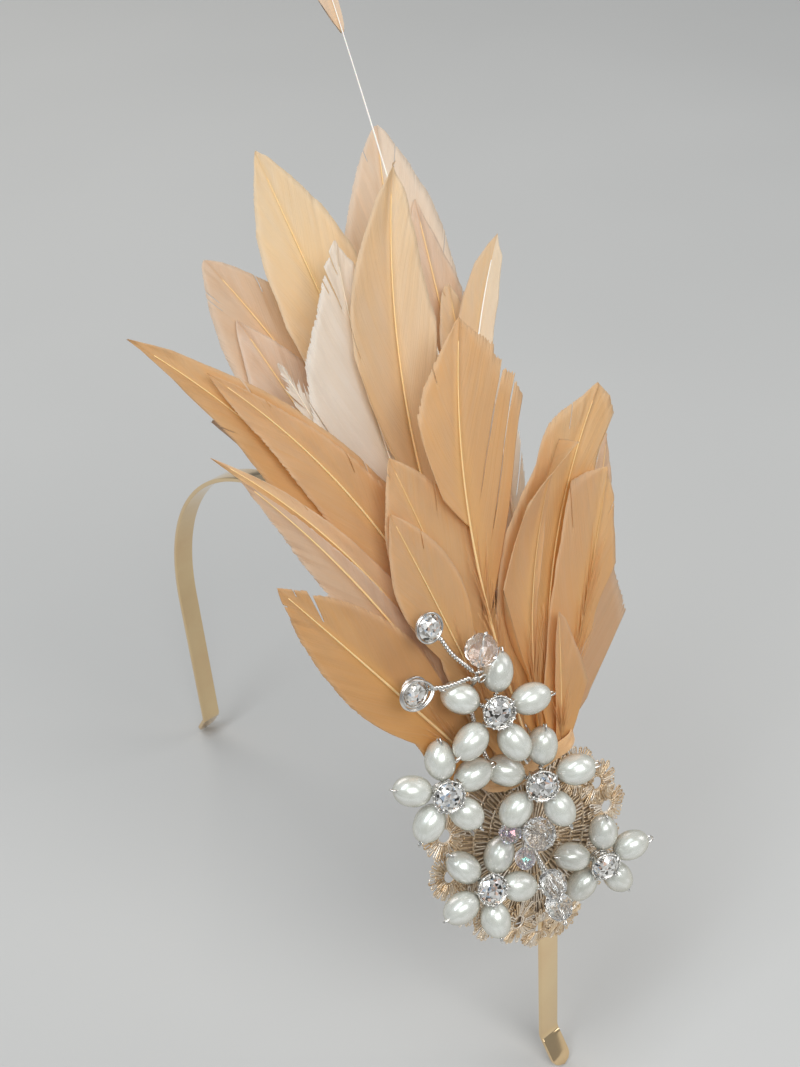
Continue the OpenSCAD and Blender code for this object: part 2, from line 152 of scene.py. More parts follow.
def frames_along(path, closed=False):
    """Tangent, normal and binormal at each point, carried along without twist."""
    t = np.gradient(path, axis=0)
    if closed:
        t = np.roll(path, -1, 0) - np.roll(path, 1, 0)
    t /= np.maximum(np.linalg.norm(t, axis=1, keepdims=True), 1e-9)
    ref = np.array([0, 0, 1.0]) if abs(t[0][2]) < 0.9 else np.array([1.0, 0, 0])
    n = np.zeros_like(t)
    n[0] = np.cross(t[0], ref)
    n[0] /= np.linalg.norm(n[0])
    for i in range(1, len(t)):
        v = n[i - 1] - t[i] * np.dot(n[i - 1], t[i])
        n[i] = v / max(np.linalg.norm(v), 1e-9)
    return t, n, np.cross(t, n)


def tube(shape, path, radius, sides=8, closed=False, slot=0, **attrs):
    """A round tube along the path, with capped ends unless it is closed."""
    path = np.asarray(path, float)
    n = len(path)
    radius = np.broadcast_to(np.asarray(radius, float), n)
    _, a, b = frames_along(path, closed)
    angle = np.arange(sides) * TAU / sides
    ring = (a[:, None] * np.cos(angle)[None, :, None] + b[:, None] * np.sin(angle)[None, :, None])
    verts = (path[:, None] + ring * radius[:, None, None]).reshape(-1, 3)
    faces = []
    for i in range(n if closed else n - 1):
        j = (i + 1) % n
        for k in range(sides):
            m = (k + 1) % sides
            faces.append((i * sides + k, i * sides + m, j * sides + m, j * sides + k))
    if not closed:
        faces.append(tuple(range(sides))[::-1])
        faces.append(tuple((n - 1) * sides + k for k in range(sides)))
    per_point = {key: np.repeat(np.broadcast_to(np.asarray(v, float), n), sides) for key, v in attrs.items()}
    shape.add(verts, faces, slot, **per_point)


def resample(path, step):
    path = np.asarray(path, float)
    length = np.concatenate([[0], np.cumsum(np.linalg.norm(np.diff(path, axis=0), axis=1))])
    count = max(2, int(length[-1] / step) + 1)
    at = np.linspace(0, length[-1], count)
    return np.stack([np.interp(at, length, path[:, k]) for k in range(3)], -1), at


def twisted(shape, points, strand=0.24, pitch=1.5, strands=2, slot=0, sides=6):
    """Wires twisted round each other along a path."""
    path, at = resample(smooth_path(points), pitch / 9)
    _, a, b = frames_along(path)
    for k in range(strands):
        turn = (at / pitch + k / strands) * TAU
        off = a * np.cos(turn)[:, None] + b * np.sin(turn)[:, None]
        tube(shape, path + off * strand * 0.92, strand, sides, slot=slot)


def ellipsoid(shape, centre, frame3, radii, rows=28, cols=40, slot=0, bumps=None, **attrs):
    """frame3 has the local axes as rows; the last one is the long axis."""
    lat = np.linspace(0, math.pi, rows + 1)[1:-1]
    lon = np.arange(cols) * TAU / cols
    d = np.stack([np.sin(lat)[:, None] * np.cos(lon), np.sin(lat)[:, None] * np.sin(lon),
                  np.repeat(np.cos(lat)[:, None], cols, 1)], -1).reshape(-1, 3)
    d = np.concatenate([d, [[0, 0, 1], [0, 0, -1]]])
    size = 1 if bumps is None else 1 + bumps(d)[:, None]
    verts = centre + (d * size * np.asarray(radii)) @ frame3
    turn = np.concatenate([np.tile(np.abs(lon / math.pi - 1), rows - 1), [0, 0]])
    row = np.concatenate([np.repeat(np.cos(lat), cols), [1, -1]])
    faces = []
    last = rows - 2
    for i in range(last):
        for k in range(cols):
            m = (k + 1) % cols
            faces.append((i * cols + k, (i + 1) * cols + k, (i + 1) * cols + m, i * cols + m))
    top, bottom = (rows - 1) * cols, (rows - 1) * cols + 1
    for k in range(cols):
        m = (k + 1) % cols
        faces.append((k, m, top))
        faces.append((last * cols + m, last * cols + k, bottom))
    shape.add(verts, faces, slot, turn=turn, row=row, **attrs)


# ---- materials ----

def new_material(name):
    m = bpy.data.materials.new(name)
    m.use_nodes = True
    return m, m.node_tree, m.node_tree.nodes["Principled BSDF"]


def add_node(nt, kind, inputs=None, **props):
    n = nt.nodes.new(kind)
    for key, value in props.items():
        setattr(n, key, value)
    for key, value in (inputs or {}).items():
        if isinstance(value, bpy.types.NodeSocket):
            nt.links.new(value, n.inputs[key])
        else:
            n.inputs[key].default_value = value
    return n


def maths(nt, op, a, b=0.0, c=0.0):
    return add_node(nt, "ShaderNodeMath", {0: a, 1: b, 2: c}, operation=op).outputs[0]


def spread(nt, value, lo, hi, to_lo=0.0, to_hi=1.0):
    return add_node(nt, "ShaderNodeMapRange", {"Value": value, "From Min": lo, "From Max": hi,
                                               "To Min": to_lo, "To Max": to_hi}).outputs[0]


def mix_colour(nt, factor, a, b, blend="MIX"):
    n = nt.nodes.new("ShaderNodeMix")
    n.data_type = "RGBA"
    n.blend_type = blend
    for key, value in ((0, factor), (6, a), (7, b)):
        if isinstance(value, bpy.types.NodeSocket):
            nt.links.new(value, n.inputs[key])
        else:
            n.inputs[key].default_value = value if key == 0 else (*value[:3], 1)
    return n.outputs[2]


def noise(nt, vector=None, scale=5.0, detail=3.0, rough=0.55):
    inputs = {"Scale": scale, "Detail": detail, "Roughness": rough}
    if vector is not None:
        inputs["Vector"] = vector
    return add_node(nt, "ShaderNodeTexNoise", inputs).outputs[0]


def attribute(nt, name):
    return add_node(nt, "ShaderNodeAttribute", attribute_name=name).outputs["Fac"]


def combine(nt, x, y, z=0.0):
    return add_node(nt, "ShaderNodeCombineXYZ", {0: x, 1: y, 2: z}).outputs[0]


def coords(nt):
    return add_node(nt, "ShaderNodeTexCoord").outputs["Object"]


def bump(nt, p, height, strength=0.3, distance=0.0002):
    b = add_node(nt, "ShaderNodeBump", {"Height": height, "Strength": strength, "Distance": distance})
    nt.links.new(b.outputs[0], p.inputs["Normal"])
    return b.outputs[0]


def settle(p, colour=None, rough=None, **values):
    """Sets inputs of the shader; an underscore in a name stands for a space."""
    for key, value in {"Base_Color": colour, "Roughness": rough, **values}.items():
        socket = p.inputs[key.replace("_", " ")]
        if isinstance(value, bpy.types.NodeSocket):
            p.id_data.links.new(value, socket)
        elif value is not None:
            socket.default_value = value


def feather_material(name, deep_with_painted_glow, mid, tip, rim, glow, through=0.5):
    """Barbed vane: colour runs from the quill to the tip, with painted glow at the base and along the quill,
    streaked along the barbs, with painted highlight at the edges and painted shade per side, lit from behind.
    """
    m, nt, p = new_material(name)
    along, across, barb, tone = (attribute(nt, k) for k in ("along", "across", "barb", "tone"))
    # the saturated orange at the base is partly the feather's own colour and partly painted glow, for light
    # passed through the stacked vanes
    low = mix_colour(nt, spread(nt, along, 0.12, 0.55), deep_with_painted_glow, mid)
    colour = mix_colour(nt, spread(nt, along, 0.5, 1.0), low, tip)
    scaled = lambda value, by: maths(nt, "MULTIPLY", value, by)
    wide = noise(nt, combine(nt, scaled(barb, 0.05), scaled(across, 1.2)), 1.6, 2)
    fine = noise(nt, combine(nt, scaled(barb, 0.9), scaled(across, 0.7), 3.0), 1.0, 3)
    colour = mix_colour(nt, spread(nt, wide, 0.3, 0.75, 0.0, 0.55), colour, mix_colour(nt, 0.5, deep_with_painted_glow, mid))
    colour = mix_colour(nt, spread(nt, fine, 0.35, 0.7, 0.0, 0.22), colour, rim)
    # painted glow along the quill: the vane is mixed towards the glow colour near the rachis
    colour = mix_colour(nt, spread(nt, across, 0.28, 0.0, 0.0, 0.5), colour, glow)
    # painted highlight along the edges, as if they caught the light
    colour = mix_colour(nt, spread(nt, across, 0.86, 1.0, 0.0, 0.55), colour, rim)
    # painted shade of each side: a positive value darkens that side's colour, a negative one paints it
    # lighter
    colour = mix_colour(nt, spread(nt, tone, 0.0, 1.0), colour,
                        mix_colour(nt, 1.0, colour, (0.74, 0.60, 0.48), "MULTIPLY"))
    colour = mix_colour(nt, spread(nt, tone, 0.0, -1.0), colour, (0.94, 0.88, 0.80))
    settle(p, colour, 0.5, Specular_IOR_Level=0.28, Sheen_Weight=0.12, Sheen_Roughness=0.4)
    normal = bump(nt, p, maths(nt, "ADD", scaled(fine, 0.6), wide), 0.35, 0.0004)
    back = add_node(nt, "ShaderNodeBsdfTranslucent",
                    {"Color": mix_colour(nt, 0.45, colour, glow), "Normal": normal})
    mix = add_node(nt, "ShaderNodeMixShader", {0: through, 1: p.outputs[0], 2: back.outputs[0]})
    nt.links.new(mix.outputs[0], nt.nodes["Material Output"].inputs["Surface"])
    return m


def quill_material(name, low, high):
    m, nt, p = new_material(name)
    along = attribute(nt, "along")
    streak = noise(nt, coords(nt), 900, 2)
    colour = mix_colour(nt, spread(nt, along, 0.1, 0.95), low, high)
    pale = mix_colour(nt, 0.5, colour, (1, 0.95, 0.85))
    colour = mix_colour(nt, spread(nt, streak, 0.3, 0.7, 0, 0.25), colour, pale)
    settle(p, colour, 0.35, Subsurface_Weight=0.15, Subsurface_Radius=(0.0012, 0.0006, 0.0003))
    bump(nt, p, streak, 0.1)
    return m


def metal_material(name, colour, rough, dark=0.85, tint=None, scale=260):
    m, nt, p = new_material(name)
    grain = noise(nt, coords(nt), scale, 4, 0.6)
    worn = tint or tuple(c * dark for c in colour)
    settle(p, mix_colour(nt, spread(nt, grain, 0.3, 0.7), colour, worn),
           spread(nt, grain, 0.3, 0.75, rough * 0.7, rough * 1.5), Metallic=1.0)
    bump(nt, p, grain, 0.04)
    return m


def pearl_material():
    """Nacre: ivory-grey body with darker lengthwise streaks, partly nacre texture and partly painted
    reflection, greener with painted shade towards the edge.
    """
    m, nt, p = new_material("pearl_nacre")
    facing = add_node(nt, "ShaderNodeLayerWeight", {"Blend": 0.35}).outputs["Facing"]
    cloud = noise(nt, coords(nt), 260, 3)
    streak = noise(nt, combine(nt, maths(nt, "MULTIPLY", attribute(nt, "turn"), 5.0), attribute(nt, "row"),
                               attribute(nt, "bead")), 2.2, 3)
    base = mix_colour(nt, spread(nt, cloud, 0.3, 0.7), (0.80, 0.75, 0.66), (0.88, 0.84, 0.76))
    # darker lengthwise streaks: partly nacre texture, partly painted streaks of reflection
    base = mix_colour(nt, spread(nt, streak, 0.42, 0.62, 0.0, 0.4), base, (0.58, 0.54, 0.45))
    # painted shade: greener and darker where the surface turns away from the view
    base = mix_colour(nt, spread(nt, facing, 0.3, 0.9, 0, 0.85), base, (0.50, 0.46, 0.35))
    settle(p, base, spread(nt, streak, 0.3, 0.7, 0.2, 0.36), Metallic=0.3, Specular_IOR_Level=0.8,
           Coat_Weight=0.6, Coat_Roughness=0.08, Coat_Tint=(0.86, 0.97, 1.0, 1),
           Thin_Film_Thickness=330, Thin_Film_IOR=1.42)
    bump(nt, p, streak, 0.07, 0.0001)
    return m


def stone_material(name):
    """Foil-backed brilliant: the facets and the facets seen through them are painted light and dark by turns,
    painted highlights and reflections.
    """
    m, nt, p = new_material(name)
    cells = nt.nodes.new("ShaderNodeTexVoronoi")
    cells.inputs["Scale"].default_value = 1500
    nt.links.new(coords(nt), cells.inputs["Vector"])
    inner = add_node(nt, "ShaderNodeSeparateColor", {0: cells.outputs["Color"]}).outputs[0]
    share = maths(nt, "FRACT", maths(nt, "MULTIPLY_ADD", inner, 0.7, attribute(nt, "facet")))
    ramp = nt.nodes.new("ShaderNodeValToRGB")
    ramp.color_ramp.interpolation = "CONSTANT"
    # painted highlights and reflections: stops from near black to white with blue and rose flashes, picked
    # per facet and per cell
    painted_flash_stops = [(0.0, (0.08, 0.075, 0.065)), (0.11, (0.92, 0.92, 0.90)), (0.30, (0.30, 0.28, 0.25)),
             (0.42, (0.80, 0.79, 0.76)), (0.62, (0.60, 0.59, 0.56)), (0.74, (0.98, 0.98, 0.97)),
             (0.90, (0.55, 0.66, 0.80)), (0.94, (0.85, 0.60, 0.48))]
    elements = ramp.color_ramp.elements
    elements[1].position = painted_flash_stops[1][0]
    for at, _ in painted_flash_stops[2:]:
        elements.new(at)
    for element, (_, colour) in zip(elements, painted_flash_stops):
        element.color = (*colour, 1)
    nt.links.new(share, ramp.inputs[0])
    settle(p, ramp.outputs[0], 0.16, Metallic=spread(nt, inner, 0, 1, 0.35, 0.95),
           Coat_Weight=1.0, Coat_Roughness=0.02)
    bump(nt, p, inner, 0.5, 0.0001)
    return m


def crystal_material(name, tint, film=0.0, clear=0.86):
    m, nt, p = new_material(name)
    facet = attribute(nt, "facet")
    # painted light per facet: each facet's colour is mixed at random towards white and its clearness varied,
    # standing in for facet flashes
    settle(p, mix_colour(nt, spread(nt, facet, 0, 1), tint, (1, 1, 1)),
           spread(nt, noise(nt, coords(nt), 400, 2), 0.3, 0.7, 0.01, 0.05), IOR=1.54,
           Transmission_Weight=spread(nt, facet, 0, 1, clear, 0.98), Coat_Weight=0.5)
    if film:
        settle(p, Thin_Film_Thickness=film, Thin_Film_IOR=1.8)
    return m


def cloth_material(name, a, b, scale=1600, strength=0.6):
    m, nt, p = new_material(name)
    fuzz = noise(nt, coords(nt), scale, 4, 0.7)
    cloud = noise(nt, coords(nt), 90, 2)
    nap = maths(nt, "MULTIPLY_ADD", fuzz, 0.7, maths(nt, "MULTIPLY", cloud, 0.3))
    settle(p, mix_colour(nt, spread(nt, nap, 0.3, 0.7), a, b), 0.9, Sheen_Weight=0.4, Specular_IOR_Level=0.15)
    bump(nt, p, fuzz, strength, 0.0004)
    return m


def lace_material():
    """Metallic thread: brown-gold to pale champagne, with painted highlights along each strand."""
    m, nt, p = new_material("lace_thread")
    grain_and_painted_sparkle = noise(nt, coords(nt), 1900, 3, 0.7)
    strand = attribute(nt, "strand")
    colour = mix_colour(nt, spread(nt, strand, 0.0, 0.45), (0.50, 0.31, 0.13), (0.80, 0.60, 0.36))
    colour = mix_colour(nt, spread(nt, strand, 0.45, 1.0), colour, (0.90, 0.82, 0.72))
    # painted highlights: the grain noise mixes pale champagne into the thread colour
    colour = mix_colour(nt, spread(nt, grain_and_painted_sparkle, 0.38, 0.65, 0.0, 0.5), colour, (0.95, 0.90, 0.82))
    settle(p, colour, spread(nt, grain_and_painted_sparkle, 0.3, 0.7, 0.22, 0.48), Metallic=0.7)
    bump(nt, p, grain_and_painted_sparkle, 0.4, 0.0001)
    return m


PEACH = feather_material("peach_vane", (0.96, 0.62, 0.24), (0.87, 0.59, 0.29), (0.79, 0.60, 0.38),
                         (0.90, 0.73, 0.53), (0.99, 0.69, 0.28))
LIGHT = feather_material("light_peach_vane", (0.99, 0.73, 0.36), (0.91, 0.75, 0.50), (0.87, 0.75, 0.58),
                         (0.96, 0.86, 0.72), (0.99, 0.76, 0.40))
PALE = feather_material("pale_vane", (0.84, 0.60, 0.37), (0.86, 0.70, 0.52), (0.87, 0.76, 0.64),
                        (0.95, 0.89, 0.82), (0.93, 0.66, 0.36))
IVORY = feather_material("ivory_vane", (0.87, 0.76, 0.62), (0.90, 0.84, 0.76), (0.92, 0.88, 0.82),
                         (0.97, 0.95, 0.92), (0.92, 0.80, 0.62))
# a darker, browner copy of the peach vane: painted shade for the back feather, which lies in the shadow of
# the others
PAINTED_SHADE_VANE = feather_material("painted_shade_vane", (0.52, 0.35, 0.20), (0.60, 0.44, 0.30), (0.64, 0.50, 0.38),
                          (0.74, 0.60, 0.48), (0.64, 0.42, 0.24))
GOLD_QUILL = quill_material("golden_quill", (0.90, 0.62, 0.30), (0.93, 0.64, 0.28))
PALE_QUILL = quill_material("pale_quill", (0.88, 0.72, 0.52), (0.90, 0.80, 0.66))
WHITE_QUILL = quill_material("white_quill", (0.90, 0.86, 0.78), (0.92, 0.88, 0.82))
SILVER = metal_material("silver_wire", (0.86, 0.85, 0.82), 0.2)
GOLD = metal_material("gold_plate", (0.92, 0.71, 0.42), 0.06, tint=(0.86, 0.62, 0.36), scale=60)
PEARL = pearl_material()
STONE = stone_material("foiled_stone_painted_flashes")
CLEAR = crystal_material("clear_crystal", (0.93, 0.95, 0.96))
VIOLET = crystal_material("violet_crystal_glass", (0.62, 0.58, 0.92), film=420)
BLUSH = crystal_material("blush_crystal_glass", (0.99, 0.95, 0.93), clear=0.8)
PINKISH = crystal_material("pinkish_crystal_glass", (0.90, 0.80, 0.86), film=350)
LACE = lace_material()
FELT = cloth_material("felt", (0.66, 0.57, 0.46), (0.80, 0.72, 0.61))
# stiff cloth coloured dark brown: painted shade in the gaps between the lace threads over it
BUCKRAM_PAINTED_SHADE = cloth_material("stiff_cloth_painted_shade", (0.30, 0.22, 0.14), (0.44, 0.33, 0.22), scale=900)
THREAD = cloth_material("binding_thread", (0.70, 0.42, 0.20), (0.85, 0.56, 0.30), scale=1200, strength=0.4)

TONES = {"peach": (PEACH, GOLD_QUILL, "peach_feather"), "light": (LIGHT, GOLD_QUILL, "peach_feather"),
         "curled": (LIGHT, WHITE_QUILL, "peach_feather"), "pale": (PALE, GOLD_QUILL, "pale_feather"),
         "ivory": (IVORY, PALE_QUILL, "ivory_feather"), "shaded": (PAINTED_SHADE_VANE, GOLD_QUILL, "shaded_feather"),
         "cream": (PALE, WHITE_QUILL, "pale_feather")}

# ---- feathers ----

def fan_place(yaw, layer, shift):
    """Maps a feather's own frame to the row frame."""
    turn = turn_z(-yaw) @ turn_x(REAR_LEAN + layer * LEAN_STEP)
    foot = np.array([shift, QUILL_START, FIRST_HEIGHT + layer * LAYER_STEP])
    return lambda p: world(foot + np.asarray(p) @ turn.T)


def bent(x, s, h):
    return np.stack([x, (BEND + h) * np.sin(s / BEND), (BEND + h) * np.cos(s / BEND) - BEND], -1)


BARB_SPACING, BARB_STEP, BARB_COLUMNS = 0.42, 0.2, 10
BARB_HALF_THICK = 0.075
BARB_ANGLE, BARB_STRAIGHTEN = 36, 19
FULL_DOWN = 19


@dataclass
class Feather:
    """One trimmed feather in its own frame. Lengths are in millimetres, angles in degrees. A pair is
    (left side, right side). left and right are outlines: (distance along the quill, half width)."""

    yaw: float
    reach: float
    width: float
    layer: int
    shift: float = 0
    sweep: float = 0                # sideways bend of the quill at its tip
    foot: float = 0.35              # share of the reach where the full vane begins
    widest: float = 0.55
    left_share: float = 0.5
    point: float = 0.9
    tone: str = "peach"
    low: object = 13                # where the first barbs leave the quill, one value or a pair
    lean: tuple = (0.0, 0.0)        # rise of each side away from the quill
    cup: tuple = (0.0, 0.0)
    wave: float = 0.3
    twist: float = 0.0
    curl: float = 0.0
    splits: tuple = ()              # (side, share of the barbs, opening)
    ragged: float = 0.008
    down: int = 40                  # count of loose barbs
    dark: tuple = (0.0, 0.0)        # painted shade of each side, below zero paints it lighter
    rib: float = 0.4
    base: float = 0.5
    shaft: float = 1.0
    left: tuple = ()
    right: tuple = ()
    seed: int = 1

    def __post_init__(self):
        self.place = fan_place(self.yaw, self.layer, self.shift)
        self.rng = np.random.default_rng(self.seed * 7 + self.layer)
        self.phase = self.rng.random(4) * TAU
        self.wave_length = 17 + 12 * self.rng.random()

    def share(self, t):
        peak = math.log(0.5) / math.log(self.widest)
        return np.maximum(0, np.sin(math.pi * np.clip(t, 0, 1) ** peak)) ** self.point

    def first(self, side):
        low = self.low if np.isscalar(self.low) else self.low[0 if side < 0 else 1]
        return min(low, self.foot * self.reach)

    def half_width(self, s, side):
        outline = self.left if side < 0 else self.right
        if outline:
            at, wide = np.transpose(outline)
            return np.interp(s, at, wide)
        start = self.first(side)
        part = self.left_share if side < 0 else 1 - self.left_share
        foot = self.foot * self.reach
        full = self.share((s - foot) / (self.reach - foot))
        grow = np.clip((s - start) / max(0.6 * foot + 5 - start, 3), 0, 1)
        fade = 1 - np.clip((s - foot - 8) / (0.4 * self.reach), 0, 1)
        lower = self.base * grow ** 0.7 * fade if start < foot else 0
        return self.width * part * np.maximum(full, lower)

    def rachis_x(self, s):
        return self.sweep * (s / self.reach) ** 3

    def point_at(self, s, a, side, rho, lift=0.0):
        """a is the distance from the rachis, rho the share of the half width."""
        k = 0 if side < 0 else 1
        room = 0.25 + 0.011 * s
        h = a * math.tan(math.radians(self.lean[k])) + self.cup[k] * rho ** 2 * room
        h = h + self.wave * room * rho ** 1.5 * np.sin(TAU * s / self.wave_length + self.phase[k])
        h = h + 0.25 * self.wave * room * rho * np.sin(TAU * s / 7.3 + self.phase[k + 2])
        h = h - 0.22 * np.exp(-((a - 0.9) / 0.7) ** 2) + lift
        turn = math.radians(self.twist) * np.clip((s / self.reach - 0.35) / 0.65, 0, 1) ** 1.3
        dx = side * a * np.cos(turn) - h * np.sin(turn)
        dh = side * a * np.sin(turn) + h * np.cos(turn)
        return bent(self.rachis_x(s) + dx, s, dh + self.curl * (s / self.reach) ** 3)

    def barbs(self, side):
        """Root of each barb, and the distance across and along at columns of points on it."""
        first = self.first(side)
        root = np.arange(first, self.reach - 0.2, BARB_SPACING)
        n = len(root)
        t = (root - first) / (self.reach - first)
        angle = np.radians(BARB_ANGLE - BARB_STRAIGHTEN * t ** 0.8)
        d = np.arange(0, 2.6 * self.width, BARB_STEP)
        longest = self.width * 0.55 / np.sin(angle)
        theta = angle[:, None] * (1 - 0.42 * np.minimum(1, d[None] / longest[:, None]))
        a = np.cumsum(np.sin(theta) * BARB_STEP, 1) - np.sin(theta[:, :1]) * BARB_STEP
        f = np.cumsum(np.cos(theta) * BARB_STEP, 1) - np.cos(theta[:, :1]) * BARB_STEP
        limit = self.half_width(root[:, None] + f, side)
        out = a >= limit
        out[:, -1] = True
        end = np.maximum(np.argmax(out, 1), 2)
        row = np.arange(n)
        over, under = a[row, end] - limit[row, end], a[row, end - 1] - limit[row, end - 1]
        end = end - np.clip(over / np.maximum(over - under, 1e-6), 0, 1)
        jag = 1 - self.ragged * self.rng.random(n) - 0.8 * self.ragged * (self.rng.random(n) > 0.86)
        rho = np.linspace(0, 1, BARB_COLUMNS + 1)
        at = rho[None] * (end * jag)[:, None]
        i0 = np.minimum(at.astype(int), len(d) - 2)
        w = at - i0
        rows = row[:, None]
        a = a[rows, i0] * (1 - w) + a[rows, i0 + 1] * w
        f = f[rows, i0] * (1 - w) + f[rows, i0 + 1] * w
        return root, a, f, rho[None]

    def part(self, side, n):
        """Splits: how far each barb is pushed along, and the column where each gap opens."""
        push, gaps = np.zeros(n), {}
        wanted = [(place, gap) for at_side, place, gap in self.splits if at_side == side]
        small = [(self.rng.uniform(0.2, 0.95), self.rng.uniform(0.02, 0.08))
                 for _ in range(int(self.reach / 50))]
        for place, gap in wanted + small:
            i = int(np.clip(place, 0.02, 0.98) * (n - 1))
            far = np.arange(n) - i - 0.5
            reach = (3.2 if gap > 0.5 else 2.0) / BARB_SPACING
            push += np.where(far > 0, 1, -1) * gap * 0.5 * np.exp(-np.abs(far) / reach)
            gaps[i] = int((0.35 if gap > 0.5 else self.rng.uniform(0.7, 0.9)) * BARB_COLUMNS)
        return push, gaps

    def vane(self, shape, side):
        root, a, f, rho = self.barbs(side)
        n, cols = a.shape
        push, gaps = self.part(side, n)
        s = root[:, None] + f + push[:, None] * rho ** 1.6
        clump = np.repeat(self.rng.normal(0, 1, n // 6 + 2), 6)[:n]
        clump = np.convolve(np.pad(clump, 2, mode="edge"), np.ones(5) / 5, "valid")
        lift = 0.05 * self.rib * clump[:, None] * rho * (1 + 0.02 * s)
        lift = lift + 0.012 * ((np.arange(n) % 2) * 2 - 1)[:, None] * np.minimum(1, 3 * rho)
        thick = BARB_HALF_THICK * (1 - 0.55 * rho)
        verts = np.concatenate([self.point_at(s, a, side, rho, lift + t).reshape(-1, 3)
                                for t in (thick, -thick)])
        faces, edges = [], {}
        for i in range(n - 1):
            for k in range(min(gaps.get(i, BARB_COLUMNS), BARB_COLUMNS)):
                p, q = i * cols + k, (i + 1) * cols + k
                face = (p, p + 1, q + 1, q) if side > 0 else (p, q, q + 1, p + 1)
                faces.append(face)
                edges.update(dict.fromkeys(zip(face, face[1:] + face[:1])))
        half = n * cols
        rim = [(x, y) for x, y in edges if (y, x) not in edges]
        faces += [tuple(v + half for v in face)[::-1] for face in faces]
        faces += [(y, x, x + half, y + half) for x, y in rim]
        along = np.tile(np.clip(s / self.reach, 0, 1).reshape(-1), 2)
        across = np.tile(np.tile(rho[0], n), 2)
        barb = np.tile(np.repeat(np.arange(n) + (500 if side > 0 else 0) + 37 * self.layer, cols), 2)
        # the tone attribute carries the painted shade of this side
        shape.add(self.place(verts), faces, along=along, across=across, barb=barb,
                  tone=self.dark[0 if side < 0 else 1])

    def quill(self, shape):
        s = np.linspace(0, 0.96 * self.reach, 60)
        t = s / self.reach
        radius = self.shaft * (0.34 * (1 - t) ** 0.8 + 0.05)
        mid = self.point_at(s, 0 * s, 1, 0 * s, 0.10)
        tube(shape, self.place(mid), radius, 10, slot=1, along=t)

    def loose_barbs(self, shape):
        """Fine down barbs that run up the quill from the binding."""
        rng, t = self.rng, np.linspace(0, 1, 8)
        top = min(self.foot * self.reach, 40)
        for i in range(self.down):
            side = 1 if i % 2 else -1
            start = rng.uniform(5, top)
            length = rng.uniform(8, FULL_DOWN) * (0.6 if self.reach < 50 else 1)
            s = start + length * t
            a = t ** 1.4 * rng.uniform(0.8, 3.0) * (0.5 + 0.5 * length / FULL_DOWN)
            sway = 0.25 * np.sin(np.linspace(0, rng.uniform(2, 5), 8) + rng.uniform(0, 6)) * t
            lift = 0.15 + rng.uniform(-0.2, 0.8) * t
            path = self.place(bent(self.rachis_x(s) + side * a + sway, s, lift))
            along = np.linspace(0.1, 0.5, 8) + rng.uniform(0, 0.3)
            tube(shape, path, np.linspace(0.09, 0.03, 8), 4, along=along, across=0.5,
                 barb=rng.uniform(0, 900), tone=0.0)

    def build(self, node, body="root"):
        vane_material, quill_mat, slot = TONES[self.tone]
        shape = Shape()
        self.vane(shape, -1)
        self.vane(shape, 1)
        self.quill(shape)
        self.loose_barbs(shape)
        shape.build(node + "_barbs", [vane_material, quill_mat], body, [node], slot)


